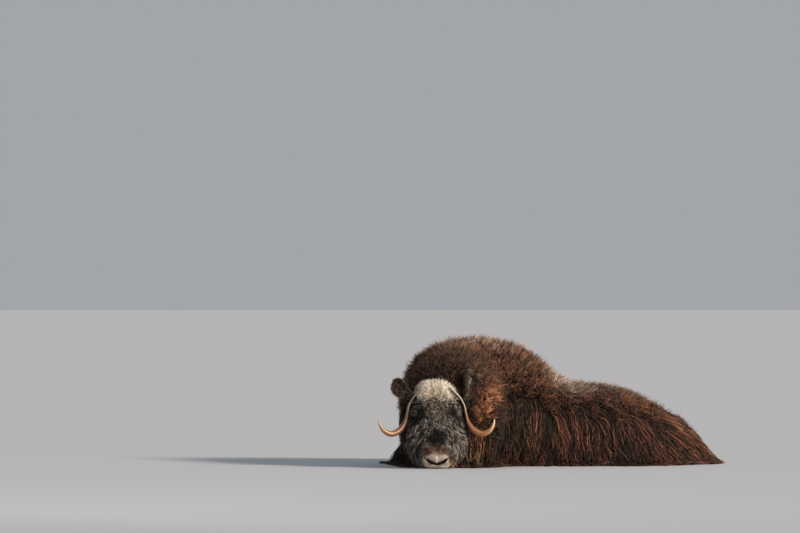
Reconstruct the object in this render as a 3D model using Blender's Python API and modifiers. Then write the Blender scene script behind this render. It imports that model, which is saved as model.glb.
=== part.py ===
"""A muskox cow lying at rest with its chin on the ground, as solids at life size.

Metres, +Z up. The trunk lies along X with the rump at +X, and the head is turned
to face -Y. Each named piece is one closed solid, out to the tips of the coat.
"""

import math

import bmesh
import bpy
from mathutils import Matrix, Vector

# Gap of a cut, room round a solid that lies in another, how far a form reaches below the floor
# before it is cut level, the size of the block that cuts a plane, and the steps that work out
# where the facets of a grown copy meet
GAP = 0.0006
ROOM = 0.0008
SINK = 0.03
CUTTER = 4.0
MITRE_STEPS = 30

# Trunk, measured along its own axis, which passes the withers and turns a little from X
WITHERS = Vector((-0.39, 0.0, 0.0))
TRUNK_YAW = math.radians(9)
BACK_LINE = (
    (-0.80, 0.40), (-0.76, 0.525), (-0.68, 0.625), (-0.58, 0.678), (-0.45, 0.702),
    (-0.33, 0.700), (-0.21, 0.672), (-0.11, 0.615), (-0.02, 0.530), (0.07, 0.470),
    (0.17, 0.450), (0.30, 0.438), (0.42, 0.410), (0.54, 0.360), (0.66, 0.292),
    (0.76, 0.210), (0.83, 0.135), (0.90, 0.065), (0.955, 0.030),
)
HALF_WIDTH = (
    (-0.80, 0.10), (-0.76, 0.19), (-0.66, 0.275), (-0.50, 0.330), (-0.30, 0.355),
    (-0.05, 0.370), (0.20, 0.385), (0.40, 0.375), (0.55, 0.330), (0.70, 0.255),
    (0.80, 0.185), (0.90, 0.100), (0.955, 0.040),
)
TRUNK_STATIONS = 40
WIDEST_AT = 0.40
ROUND_ABOVE = 2.15
FULL_BELOW = 3.2
SKIRT_FLARE = 0.10
SKIRT_HEIGHT = 0.16

# Neck with its mane, from the shoulders to behind the ears
NECK_PATH = ((-0.40, 0.06), (-0.47, -0.12), (-0.53, -0.29), (-0.545, -0.41), (-0.555, -0.480))
NECK_TOP = ((0.0, 0.690), (0.35, 0.655), (0.70, 0.600), (0.88, 0.540), (0.96, 0.490), (1.0, 0.420))
NECK_HALF_WIDTH = ((0.0, 0.330), (0.35, 0.315), (0.70, 0.302), (0.88, 0.278), (0.96, 0.240), (1.0, 0.165))
NECK_STATIONS = 16
MANE_FLARE = -0.16
MANE_HEIGHT = 0.30

# Head, in its own axes: x to the animal's left, along the face to the muzzle, and
# out of the forehead. The origin is midway between the eyes
EYES_MIDDLE = Vector((-0.617, -0.560, 0.294))
FACE_TILT = math.radians(30)
FACE_TOP = (
    (-0.215, -0.075), (-0.200, -0.015), (-0.165, 0.035), (-0.10, 0.060), (0.0, 0.058),
    (0.08, 0.053), (0.16, 0.052), (0.22, 0.051), (0.26, 0.040), (0.29, 0.015), (0.302, -0.02),
)
FACE_UNDER = (
    (-0.215, -0.120), (-0.200, -0.170), (-0.165, -0.205), (-0.10, -0.220), (0.0, -0.215),
    (0.08, -0.200), (0.16, -0.175), (0.22, -0.145), (0.26, -0.125), (0.29, -0.100), (0.302, -0.055),
)
FACE_HALF_WIDTH = (
    (-0.215, 0.050), (-0.200, 0.086), (-0.165, 0.110), (-0.10, 0.124), (-0.04, 0.141),
    (0.02, 0.144), (0.07, 0.138), (0.12, 0.130), (0.17, 0.116), (0.215, 0.096), (0.25, 0.083),
    (0.29, 0.066), (0.302, 0.030),
)
CHEEK_SPREAD = (
    (-0.12, -0.10), (-0.03, 0.0), (0.05, 0.35), (0.12, 0.75), (0.18, 1.05), (0.23, 0.95), (0.27, 0.35),
    (0.302, 0.0),
)
HEAD_STATIONS = 26
HEAD_SIDES = 24
BROW_SQUARE = 2.7
CHEEK_ROUND = 2.2

# Eyes
EYE_RADIUS = 0.0205
EYE_SIDE = 0.1115
EYE_ALONG = 0.004
EYE_OUT = 0.003

# Mouth line in the head's axes, from the lips back to the angle of the jaw
LIPS = Vector((0.0, 0.300, -0.052))
JAW_ANGLE = Vector((0.0, 0.020, -0.135))

# Horn centre line, out to the side, back from the eyes' level and up from the floor, then half the
# thickness seen from the front and half the depth from front to back
HORN_LINE = (
    (0.074, -0.002, 0.428, 0.0070, 0.018), (0.096, 0.008, 0.409, 0.0080, 0.024),
    (0.125, 0.026, 0.377, 0.0085, 0.032), (0.147, 0.030, 0.338, 0.0085, 0.035),
    (0.157, 0.022, 0.292, 0.0090, 0.031), (0.169, 0.006, 0.246, 0.0135, 0.025),
    (0.198, -0.018, 0.204, 0.0180, 0.021), (0.241, -0.045, 0.184, 0.0155, 0.0165),
    (0.281, -0.066, 0.200, 0.0118, 0.0122), (0.303, -0.080, 0.233, 0.0066, 0.0068),
    (0.3085, -0.086, 0.264, 0.0016, 0.0016),
)
HORN_STATIONS = 16
HORN_SIDES = 8

# Ears: root and tip from the eyes' middle, and the way the hollow faces
EAR_LENGTH = 0.172
EAR_HALF_WIDTH = 0.034
EAR_THICKNESS = 0.011
LEFT_EAR_ROOT = Vector((0.150, 0.030, 0.060))
RIGHT_EAR_ROOT = Vector((-0.130, 0.030, 0.074))
LEFT_EAR_WAY = Vector((0.16, 0.10, 1.0))
RIGHT_EAR_WAY = Vector((-0.66, 0.05, 0.75))

# Folded legs lie on the floor. Points are along the trunk, across it and up, with a radius
FORELEG = (
    (-0.52, 0.175, 0.150, 0.080), (-0.64, 0.170, 0.125, 0.070), (-0.76, 0.160, 0.092, 0.062),
    (-0.845, 0.152, 0.066, 0.062), (-0.855, 0.150, 0.045, 0.048), (-0.78, 0.146, 0.036, 0.042),
    (-0.565, 0.141, 0.030, 0.036),
)
HINDLEG = (
    (0.28, 0.250, 0.110, 0.090), (0.38, 0.240, 0.105, 0.105), (0.50, 0.215, 0.100, 0.090),
    (0.61, 0.195, 0.080, 0.062), (0.640, 0.200, 0.052, 0.050), (0.56, 0.225, 0.040, 0.042),
    (0.43, 0.258, 0.036, 0.040), (0.255, 0.318, 0.032, 0.038),
)
CLAW_LENGTH = 0.088
CLAW_WIDTH = 0.044
CLAW_HEIGHT = 0.058
CLAW_TAPER_UP = 0.25
CLAW_TAPER_BACK = 0.9
CLAW_SPLIT = 0.004
FORE_HOOF = (-0.575, 0.140, 0.019)
HIND_HOOF = (0.260, 0.322, 0.019)
HIND_HOOF_TURN = math.radians(-16)

# Tail, short and flat against the rump
TAIL = ((0.680, 0.255, 0.026), (0.745, 0.200, 0.034), (0.800, 0.140, 0.032), (0.840, 0.090, 0.018))

# Cuts that part the neck from the trunk, and the trunk behind the shoulders
NECK_CUT = (-0.53, -0.235)
NECK_CUT_WAY = (-0.39, -0.92)
SHOULDER_CUT = 0.0

# Fineness of the fused forms, with about how many triangles each keeps
COAT_VOXEL = 0.020
HEAD_VOXEL = 0.0075
LEG_VOXEL = 0.010
BODY_TRIANGLES = 1440
HEAD_TRIANGLES = 840
LEG_TRIANGLES = 130
TAIL_TRIANGLES = 110
WELD = 1e-5


def material(name, colour, roughness):
    """A plain finish for one kind of surface."""
    made = bpy.data.materials.new(name)
    made.use_nodes = True
    shader = made.node_tree.nodes["Principled BSDF"]
    shader.inputs["Base Color"].default_value = (*colour, 1.0)
    shader.inputs["Roughness"].default_value = roughness
    shader.inputs["Metallic"].default_value = 0.0
    made.diffuse_color = (*colour, 1.0)
    return made


def value_along(line, x):
    """The height at x of a smooth curve through the line's (x, height) points."""
    if x <= line[0][0]:
        return line[0][1]
    if x >= line[-1][0]:
        return line[-1][1]
    i = max(k for k in range(len(line) - 1) if line[k][0] <= x)

    def slope(k):
        a, b = line[max(k - 1, 0)], line[min(k + 1, len(line) - 1)]
        return (b[1] - a[1]) / (b[0] - a[0])

    (x0, y0), (x1, y1) = line[i], line[i + 1]
    span = x1 - x0
    t = (x - x0) / span
    return (
        y0 * (2 * t**3 - 3 * t**2 + 1)
        + slope(i) * span * (t**3 - 2 * t**2 + t)
        + y1 * (3 * t**2 - 2 * t**3)
        + slope(i + 1) * span * (t**3 - t**2)
    )


def bent(u, n):
    """One coordinate of a superellipse of power n, from a sine or cosine."""
    return math.copysign(abs(u) ** (2 / n), u)


def loft(name, rings):
    """A closed mesh through rings of the same number of points, with flat ends."""
    shape = bmesh.new()
    made = [[shape.verts.new(point) for point in ring] for ring in rings]
    count = len(made[0])
    for near, far in zip(made, made[1:]):
        for k in range(count):
            after = (k + 1) % count
            shape.faces.new((near[k], near[after], far[after], far[k]))
    shape.faces.new(reversed(made[0]))
    shape.faces.new(made[-1])
    return placed(name, shape)


def add(name, mesh):
    """Puts a mesh in the scene as an object of that name."""
    obj = bpy.data.objects.new(name, mesh)
    ANIMAL.objects.link(obj)
    return obj


def facet(shape):
    """Parts every face into triangles that point outwards, so that copies of it share its facets."""
    bmesh.ops.triangulate(shape, faces=shape.faces)
    bmesh.ops.recalc_face_normals(shape, faces=shape.faces)


def placed(name, shape):
    """Puts an edit mesh in the scene as an object of that name, in triangles."""
    facet(shape)
    mesh = bpy.data.meshes.new(name)
    shape.to_mesh(mesh)
    shape.free()
    return add(name, mesh)


def drop(obj):
    """Removes an object that was only a tool."""
    bpy.data.objects.remove(obj)


def baked(obj):
    """The object with its modifiers applied, as a plain mesh in world space."""
    bpy.context.view_layer.update()
    name = obj.name
    graph = bpy.context.evaluated_depsgraph_get()
    mesh = bpy.data.meshes.new_from_object(obj.evaluated_get(graph))
    mesh.transform(obj.matrix_world)
    drop(obj)
    shape = bmesh.new()
    shape.from_mesh(mesh)
    bmesh.ops.dissolve_degenerate(shape, edges=shape.edges, dist=WELD)
    bpy.data.meshes.remove(mesh)
    return placed(name, shape)


def joined(name, pieces):
    """One mesh that holds all the pieces, which still cross each other."""
    shape = bmesh.new()
    for piece in pieces:
        shape.from_mesh(piece.data)
        drop(piece)
    return placed(name, shape)


def fused(obj, voxel, smoothing, triangles):
    """The crossing shapes as one smooth skin, thinned to about that many triangles."""
    remesh = obj.modifiers.new("fuse", "REMESH")
    remesh.mode = "VOXEL"
    remesh.voxel_size = voxel
    smooth = obj.modifiers.new("smooth", "SMOOTH")
    smooth.factor = 0.5
    smooth.iterations = smoothing
    fine = baked(obj)
    thin = fine.modifiers.new("thin", "DECIMATE")
    thin.ratio = triangles / len(fine.data.polygons)
    return baked(fine)


def grown(obj, by):
    """A copy whose facets all stand out from the object's by that much."""
    shape = bmesh.new()
    shape.from_mesh(obj.data)
    shape.normal_update()
    moves = []
    for vert in shape.verts:
        move = Vector()
        for _ in range(MITRE_STEPS):
            for face in vert.link_faces:
                short = by - face.normal.dot(move)
                if short > 0:
                    move += face.normal * short
        moves.append(move)
    for vert, move in zip(shape.verts, moves):
        vert.co += move
    return placed(obj.name + "_grown", shape)


def boolean(obj, other):
    """The object less another one, which is left as it is."""
    step = obj.modifiers.new("boolean", "BOOLEAN")
    step.operation = "DIFFERENCE"
    step.object = other
    step.solver = "EXACT"
    return baked(obj)


def make_room(obj, inner):
    """Cuts a nest in the object for a solid that lies in it."""
    tool = grown(inner, ROOM)
    result = boolean(obj, tool)
    drop(tool)
    return result


def halved(obj, point, normal):
    """Cuts away what lies on the side of a plane that the normal points to."""
    shape = bmesh.new()
    turn = normal.to_track_quat("Z", "Y").to_matrix().to_4x4()
    place = Matrix.Translation(point + normal.normalized() * CUTTER / 2) @ turn
    bmesh.ops.create_cube(shape, size=CUTTER, matrix=place)
    tool = placed(obj.name + "_cutter", shape)
    result = boolean(obj, tool)
    drop(tool)
    return result


def whole(obj):
    """Keeps only the largest of the bodies that a cut has left."""
    shape = bmesh.new()
    shape.from_mesh(obj.data)
    left, largest = set(shape.verts), set()
    while left:
        body, edge = set(), [left.pop()]
        while edge:
            vert = edge.pop()
            body.add(vert)
            near = {e.other_vert(vert) for e in vert.link_edges} & left
            left -= near
            edge += near
        largest = max(largest, body, key=len)
    bmesh.ops.delete(shape, geom=[v for v in shape.verts if v not in largest], context="VERTS")
    shape.to_mesh(obj.data)
    shape.free()
    return obj


def copied(obj, name):
    """Another object with its own copy of the mesh."""
    return add(name, obj.data.copy())


def level(obj):
    """Cuts the object flat at the floor."""
    return halved(obj, Vector((0, 0, 0)), Vector((0, 0, -1)))


def coat_ring(centre, across, half_width, top, flare, flare_height, sides):
    """An upright section of trunk or neck, round above and full down to the floor."""
    middle = WIDEST_AT * top
    ring = []
    for i in range(sides):
        angle = 2 * math.pi * i / sides
        u, v = math.sin(angle), math.cos(angle)
        if v > 0:
            z = middle + (top - middle) * bent(v, ROUND_ABOVE)
            wide = bent(u, ROUND_ABOVE)
        else:
            z = middle + (middle + SINK) * bent(v, FULL_BELOW)
            wide = bent(u, FULL_BELOW)
        spread = 1 + flare * max(0.0, 1 - max(z, 0) / flare_height) ** 2
        ring.append(centre + across * (half_width * wide * spread) + Vector((0, 0, z)))
    return ring


def on_trunk(x, y, z):
    """A point given along the trunk, across it to the animal's right, and up."""
    ahead = Vector((math.cos(TRUNK_YAW), math.sin(TRUNK_YAW), 0))
    across = Vector((-ahead.y, ahead.x, 0))
    return WITHERS + ahead * (x - WITHERS.x) + across * y + Vector((0, 0, z))


def trunk_form():
    """The trunk from chest to the hair that trails behind the rump."""
    across = on_trunk(0, 1, 0) - on_trunk(0, 0, 0)
    first, last = BACK_LINE[0][0], BACK_LINE[-1][0]
    rings = []
    for i in range(TRUNK_STATIONS):
        t = 0.5 - 0.5 * math.cos(math.pi * i / (TRUNK_STATIONS - 1))
        x = first + (last - first) * t
        rings.append(
            coat_ring(
                on_trunk(x, 0, 0), across, value_along(HALF_WIDTH, x),
                value_along(BACK_LINE, x), SKIRT_FLARE, SKIRT_HEIGHT, 32,
            )
        )
    return loft("trunk_form", rings)


def neck_form():
    """The neck and mane, an upright mass that bends from the shoulders to the head."""
    xs = tuple((i / (len(NECK_PATH) - 1), p[0]) for i, p in enumerate(NECK_PATH))
    ys = tuple((i / (len(NECK_PATH) - 1), p[1]) for i, p in enumerate(NECK_PATH))
    rings = []
    for i in range(NECK_STATIONS):
        t = i / (NECK_STATIONS - 1)
        centre = Vector((value_along(xs, t), value_along(ys, t), 0))
        step = 0.02
        ahead = Vector(
            (
                value_along(xs, min(t + step, 1)) - value_along(xs, max(t - step, 0)),
                value_along(ys, min(t + step, 1)) - value_along(ys, max(t - step, 0)),
                0,
            )
        ).normalized()
        across = Vector((ahead.y, -ahead.x, 0))
        rings.append(
            coat_ring(
                centre, across, value_along(NECK_HALF_WIDTH, t),
                value_along(NECK_TOP, t), MANE_FLARE, MANE_HEIGHT, 32,
            )
        )
    return loft("neck_form", rings)


def on_head(x, along, out):
    """A point given in the head's own axes."""
    face = Vector((0, -math.sin(FACE_TILT), -math.cos(FACE_TILT)))
    brow = Vector((0, -math.cos(FACE_TILT), math.sin(FACE_TILT)))
    return EYES_MIDDLE + Vector((1, 0, 0)) * x + face * along + brow * out


def head_form():
    """Skull, cheeks and muzzle, as sections across the face."""
    first, last = FACE_TOP[0][0], FACE_TOP[-1][0]
    rings = []
    for i in range(HEAD_STATIONS):
        t = 0.5 - 0.5 * math.cos(math.pi * i / (HEAD_STATIONS - 1))
        along = first + (last - first) * t
        top, under = value_along(FACE_TOP, along), value_along(FACE_UNDER, along)
        half = value_along(FACE_HALF_WIDTH, along)
        ring = []
        for k in range(HEAD_SIDES):
            angle = 2 * math.pi * k / HEAD_SIDES
            u, v = math.sin(angle), math.cos(angle)
            power = BROW_SQUARE if v > 0 else CHEEK_ROUND
            out = (top + under) / 2 + (top - under) / 2 * bent(v, power)
            low = (top - out) / (top - under)
            wide = half * bent(u, power) * (1 + value_along(CHEEK_SPREAD, along) * low**2)
            ring.append(on_head(wide, along, out))
        rings.append(ring)
    return loft("head", rings)


def tube(name, points, round_by):
    """A tapering tube through world points, each given with its radius, as a closed mesh."""
    curve = bpy.data.curves.new(name, "CURVE")
    curve.dimensions = "3D"
    curve.bevel_depth = 1.0
    curve.bevel_resolution = round_by
    curve.use_fill_caps = True
    curve.resolution_u = 5
    line = curve.splines.new("NURBS")
    line.points.add(len(points) - 1)
    line.use_endpoint_u = True
    line.order_u = 3
    for knot, (place, radius) in zip(line.points, points):
        knot.co = (*place, 1.0)
        knot.radius = radius
    obj = bpy.data.objects.new(name, curve)
    ANIMAL.objects.link(obj)
    made = baked(obj)
    shape = bmesh.new()
    shape.from_mesh(made.data)
    bmesh.ops.remove_doubles(shape, verts=shape.verts, dist=WELD)
    shape.to_mesh(made.data)
    shape.free()
    return made


def limb(name, points, side):
    """A folded leg as a tapering tube along its bones, on one side of the trunk."""
    line = [(on_trunk(x, side * y, z), radius) for x, y, z, radius in points]
    return fused(tube(name, line, 4), LEG_VOXEL, 10, LEG_TRIANGLES)


def claw(name, place, side, half, turn):
    """One of the two claws of a hoof, flat where it meets its twin and under the sole."""
    shape = bmesh.new()
    bmesh.ops.create_uvsphere(shape, u_segments=8, v_segments=4, radius=0.5)
    for vert in shape.verts:
        x, y, z = vert.co
        vert.co = (
            x * CLAW_LENGTH,
            y * 2 * CLAW_WIDTH * (1 - CLAW_TAPER_UP * z),
            z * CLAW_HEIGHT * (1 + CLAW_TAPER_BACK * x),
        )
    obj = placed(name, shape)
    obj = halved(obj, Vector((0, half * CLAW_SPLIT / 2, 0)), Vector((0, -half, 0)))
    x, y, z = place
    spin = Matrix.Rotation(TRUNK_YAW + side * turn, 4, "Z")
    obj.data.transform(Matrix.Translation(on_trunk(x, side * y, z)) @ spin)
    return level(obj)


def horn_form(name, side):
    """A horn that lies flat on the brow, drops behind the eye and turns out and up to a point."""
    steps = [i / (len(HORN_LINE) - 1) for i in range(len(HORN_LINE))]
    lines = [tuple(zip(steps, column)) for column in zip(*HORN_LINE)]

    def centre(t):
        x, y, z = (value_along(line, t) for line in lines[:3])
        return Vector((EYES_MIDDLE.x + side * x, EYES_MIDDLE.y + y, z))

    rings = []
    for i in range(HORN_STATIONS):
        t = i / (HORN_STATIONS - 1)
        ahead = centre(min(t + 0.01, 1)) - centre(max(t - 0.01, 0))
        thin = ahead.cross(Vector((0, 1, 0))).normalized()
        deep = thin.cross(ahead).normalized()
        ring = []
        for k in range(HORN_SIDES):
            angle = 2 * math.pi * k / HORN_SIDES
            ring.append(
                centre(t)
                + thin * value_along(lines[3], t) * math.cos(angle)
                + deep * value_along(lines[4], t) * math.sin(angle)
            )
        rings.append(ring)
    return loft(name, rings)


def ear_form(name, side, root, way):
    """A leaf-shaped, cupped ear with a rounded tip."""
    rows, columns = 8, 4
    shape = bmesh.new()
    grid = []
    for i in range(rows):
        t = i / (rows - 1)
        half = EAR_HALF_WIDTH * (0.42 + 0.58 * math.sin(math.pi * min(t * 1.25, 1) / 2))
        half *= math.sqrt(max(0.0, 1 - max(0.0, (t - 0.62) / 0.40) ** 2))
        row = []
        for k in range(columns + 1):
            c = 2 * k / columns - 1
            cup = 0.55 * half * c * c
            row.append(shape.verts.new((half * c, -cup, EAR_LENGTH * t)))
        grid.append(row)
    for lower, upper in zip(grid, grid[1:]):
        for k in range(columns):
            shape.faces.new((lower[k], lower[k + 1], upper[k + 1], upper[k]))
    obj = placed(name, shape)
    shell = obj.modifiers.new("thickness", "SOLIDIFY")
    shell.thickness = EAR_THICKNESS
    shell.offset = 0
    up = way.normalized()
    front = Vector((side * 0.25, -1, 0))
    front = (front - up * front.dot(up)).normalized()
    right = (-front).cross(up)
    turn = Matrix((right, -front, up)).transposed().to_4x4()
    obj.matrix_world = Matrix.Translation(EYES_MIDDLE + root) @ turn
    return baked(obj)


def ball(name, centre, radius):
    """An eyeball."""
    shape = bmesh.new()
    bmesh.ops.create_uvsphere(shape, u_segments=12, v_segments=8, radius=radius)
    bmesh.ops.translate(shape, verts=shape.verts, vec=centre)
    return placed(name, shape)


def tail_form():
    """The short tail with its hair, lying down the middle of the rump."""
    line = [(on_trunk(x, 0, z), radius) for x, z, radius in TAIL]
    return fused(tube("tail", line, 2), LEG_VOXEL, 3, TAIL_TRIANGLES)


def finish(obj, look):
    """Gives a finished solid its material and smooth shading."""
    obj.data.materials.clear()
    obj.data.materials.append(look)
    obj.data.shade_smooth()
    return obj


for old in list(bpy.data.objects):
    bpy.data.objects.remove(old)
ANIMAL = bpy.data.collections.new("muskox")
bpy.context.scene.collection.children.link(ANIMAL)

COAT = material("coat", (0.09, 0.05, 0.033), 0.9)
FACE = material("face_hair", (0.16, 0.13, 0.11), 0.85)
HORN = material("horn", (0.45, 0.27, 0.14), 0.4)
HOOF = material("hoof", (0.035, 0.03, 0.028), 0.5)
EYE = material("eye", (0.02, 0.012, 0.008), 0.08)

# Head, horns, ears, legs, hooves and tail, each at its full shape
head = level(fused(head_form(), HEAD_VOXEL, 3, HEAD_TRIANGLES))
eyes, horns, ears, legs, claws = {}, {}, {}, {}, {}
for name, side, ear_root, ear_way in (
    ("left", 1, LEFT_EAR_ROOT, LEFT_EAR_WAY),
    ("right", -1, RIGHT_EAR_ROOT, RIGHT_EAR_WAY),
):
    eyes[name] = ball("eye_" + name, on_head(side * EYE_SIDE, EYE_ALONG, EYE_OUT), EYE_RADIUS)
    horns[name] = horn_form("horn_" + name, side)
    ears[name] = ear_form("ear_" + name, side, ear_root, ear_way)
    for end, line, place, turn in (
        ("fore", FORELEG, FORE_HOOF, 0.0), ("hind", HINDLEG, HIND_HOOF, HIND_HOOF_TURN)
    ):
        limb_name = f"{end}leg_{name}"
        legs[limb_name] = level(limb(limb_name, line, -side))
        claws[limb_name] = [
            claw(f"claw_{end}_{name}_{which}", place, -side, half, turn)
            for half, which in ((1, "right"), (-1, "left"))
        ]
tail = tail_form()

# Trunk and neck fused, with nests for all that lies in the coat
body = fused(joined("body", [trunk_form(), neck_form()]), COAT_VOXEL, 10, BODY_TRIANGLES)
body = level(whole(body))
for item in (head, *horns.values(), *ears.values(), *legs.values(), *sum(claws.values(), []), tail):
    body = make_room(body, item)

# Nests for the hooves in the legs and for the head in the ears, and the head's own sockets
for limb_name in legs:
    for item in claws[limb_name]:
        legs[limb_name] = make_room(legs[limb_name], item)
for name in ears:
    ears[name] = whole(make_room(make_room(ears[name], head), horns[name]))
for item in (*horns.values(), *eyes.values()):
    head = make_room(head, item)

# The jaw parted from the head along the mouth
lips, angle = on_head(*LIPS), on_head(*JAW_ANGLE)
mouth_up = (angle - lips).cross(Vector((1, 0, 0))).normalized()
if mouth_up.dot(on_head(0, 0, 1) - on_head(0, 0, 0)) < 0:
    mouth_up = -mouth_up
jaw = halved(copied(head, "lower_jaw"), lips - mouth_up * GAP / 2, mouth_up)
head = halved(head, lips + mouth_up * GAP / 2, -mouth_up)

# The fused body parted by thin upright cuts
neck_normal = Vector((*NECK_CUT_WAY, 0)).normalized()
neck_point = Vector((*NECK_CUT, 0))
neck = whole(halved(copied(body, "neck"), neck_point + neck_normal * GAP / 2, -neck_normal))
trunk = whole(halved(body, neck_point - neck_normal * GAP / 2, neck_normal))
behind = on_trunk(1, 0, 0) - on_trunk(0, 0, 0)
shoulder_cut = on_trunk(SHOULDER_CUT, 0, 0)
front = halved(copied(trunk, "trunk_front"), shoulder_cut - behind * GAP / 2, behind)
rear = halved(copied(trunk, "trunk_rear"), shoulder_cut + behind * GAP / 2, -behind)
drop(trunk)

for item in (neck, front, rear, *legs.values(), tail):
    finish(item, COAT)
for item in (head, jaw, *ears.values()):
    finish(item, FACE)
for item in horns.values():
    finish(item, HORN)
for item in sum(claws.values(), []):
    finish(item, HOOF)
for item in eyes.values():
    finish(item, EYE)

# The origin is moved to the middle of the footprint, at the floor
points = [vert.co for obj in ANIMAL.objects for vert in obj.data.vertices]
middle = Vector(
    [(min(p[k] for p in points) + max(p[k] for p in points)) / 2 for k in range(2)] + [0]
)
for obj in ANIMAL.objects:
    obj.data.transform(Matrix.Translation(-middle))
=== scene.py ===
"""Looks of a muskox cow that lies at rest with its chin on the ground, at life size.

One skin with its markings, a coat of tufts and long locks over it, eyes, horns and hooves,
on a pale studio floor. Metres, +Z up. Shapes are laid out in the body's own axes and then
moved by SHIFT into the frame.
"""

import logging
import math
from collections.abc import Callable, Iterable
from dataclasses import dataclass, field
from enum import Enum
from functools import partial

import bmesh
import bpy
import numpy as np
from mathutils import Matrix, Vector
from mathutils.bvhtree import BVHTree
from mathutils.kdtree import KDTree


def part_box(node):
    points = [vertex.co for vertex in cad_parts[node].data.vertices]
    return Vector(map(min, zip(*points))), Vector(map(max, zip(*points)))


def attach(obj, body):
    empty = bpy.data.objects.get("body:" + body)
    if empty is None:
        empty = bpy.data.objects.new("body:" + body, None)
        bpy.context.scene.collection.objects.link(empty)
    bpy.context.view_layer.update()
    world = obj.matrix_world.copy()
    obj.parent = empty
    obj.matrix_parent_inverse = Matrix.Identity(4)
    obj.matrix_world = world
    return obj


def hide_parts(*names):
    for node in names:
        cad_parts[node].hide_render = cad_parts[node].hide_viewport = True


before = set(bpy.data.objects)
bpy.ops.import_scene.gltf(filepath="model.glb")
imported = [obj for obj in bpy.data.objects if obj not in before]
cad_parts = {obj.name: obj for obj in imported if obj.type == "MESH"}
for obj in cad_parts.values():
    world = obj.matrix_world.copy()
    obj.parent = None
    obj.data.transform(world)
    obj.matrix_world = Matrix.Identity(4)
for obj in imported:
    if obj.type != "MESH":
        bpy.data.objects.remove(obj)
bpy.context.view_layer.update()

LOG = logging.getLogger("muskox")
Array = np.ndarray
Pair = tuple[float, float]
Triple = tuple[float, float, float]
Line = tuple[Pair, ...]
Arrays = tuple[Array, Array]
Object = bpy.types.Object
Material = bpy.types.Material
Socket = bpy.types.NodeSocket
Add = Callable[..., bpy.types.Node]
MAP = "OFBake"
SEED = 7
THINNING = 1
SIDES = {1: "left", -1: "right"}
UP = np.array([0.0, 0.0, 1.0])
BACK = np.array([0.0, 1.0, 0.0])
LEVEL = np.array([1.0, 1.0, 0.0])


def unit(vectors: Array) -> Array:
    """Scales each vector, along the last axis, to a length of one."""
    return vectors / np.maximum(np.linalg.norm(vectors, axis=-1, keepdims=True), 1e-9)


def along_rows(a: Array, b: Array) -> Array:
    """Dot product of each pair of rows, kept as a column."""
    return np.sum(a * b, axis=-1, keepdims=True)


def ease(low: float, high: float, x: Array) -> Array:
    """Rises smoothly from 0 at low to 1 at high, or falls if high is the lower."""
    t = np.clip((x - low) / (high - low), 0.0, 1.0)
    return t * t * (3.0 - 2.0 * t)


def blend(a: Array, b: Array, share: Array) -> Array:
    """Goes from a at a share of 0 to b at 1."""
    return a + (b - a) * share


def value_along(line: Line, x: Array | float) -> Array:
    """Reads a smooth curve through a line's points.

    Args:
        line: (x, height) points, in rising order of x.
        x: where to read it. Past the ends it keeps the end's height.

    Returns:
        The curve's height at each x.
    """
    xs, ys = np.array(line, float).T
    slopes = np.gradient(ys, xs)
    slopes[1:-1] = (ys[2:] - ys[:-2]) / (xs[2:] - xs[:-2])
    x = np.clip(x, xs[0], xs[-1])
    i = np.clip(np.searchsorted(xs, x, side="right") - 1, 0, len(xs) - 2)
    span = xs[i + 1] - xs[i]
    t = (x - xs[i]) / span
    return (
        ys[i] * (2 * t**3 - 3 * t**2 + 1)
        + slopes[i] * span * (t**3 - 2 * t**2 + t)
        + ys[i + 1] * (3 * t**2 - 2 * t**3)
        + slopes[i + 1] * span * (t**3 - t**2)
    )


def bent(u: Array, power: Array | float) -> Array:
    """One coordinate of a superellipse, from a sine or cosine."""
    return np.sign(u) * np.abs(u) ** (2 / power)


def turns(count: int) -> Array:
    """That many angles, in even steps round a circle."""
    return 2 * math.pi * np.arange(count) / count


def close_at_ends(count: int) -> Array:
    """Steps from 0 to 1 that lie closest to each other at the two ends."""
    return 0.5 - 0.5 * np.cos(math.pi * np.arange(count) / (count - 1))


def rounded(path: Array, times: int = 3) -> Array:
    """Cuts a path's corners again and again, which leaves one smooth curve.

    Args:
        path: its points, a row each.
        times: how often the corners are cut.

    Returns:
        The smooth path's points, with the same two ends.
    """
    for _ in range(times):
        near = 0.75 * path[:-1] + 0.25 * path[1:]
        far = 0.25 * path[:-1] + 0.75 * path[1:]
        inner = np.stack([near, far], axis=1).reshape(-1, path.shape[1])[1:-1]
        path = np.vstack([path[:1], inner, path[-1:]])
    return path


def ripple(points: Array, length: float, salt: float) -> Array:
    """A smooth uneven value between about -1 and 1 all through space.

    Args:
        points: where to read it.
        length: the size of its humps, in metres.
        salt: picks one of many such patterns.

    Returns:
        A value for each point.
    """
    x, y, z = (points * (2 * math.pi / length)).T
    a = np.sin(x + 1.7 * np.sin(0.8 * y + salt) + salt)
    b = np.sin(y + 1.7 * np.sin(0.9 * z + 2 * salt) + 2.1)
    c = np.sin(z + 1.7 * np.sin(0.7 * x - salt) + 3.3 * salt)
    return (a + b + c) / 2.2


def excess(values: Array, end: float, slack: float) -> Array:
    """How far each value must come back to stay softly below the end, as a last column."""
    over = np.maximum(values - end + slack, 0)
    return (over - slack * np.tanh(over / slack))[..., None]


def linear(hex_colour: str) -> Array:
    """Turns an sRGB hex colour into linear red, green and blue.

    Args:
        hex_colour: such as "#8a5a36".

    Returns:
        Three numbers from 0 to 1.
    """
    srgb = np.array([int(hex_colour[i : i + 2], 16) / 255 for i in (1, 3, 5)])
    return np.where(srgb <= 0.04045, srgb / 12.92, ((srgb + 0.055) / 1.055) ** 2.4)


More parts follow.
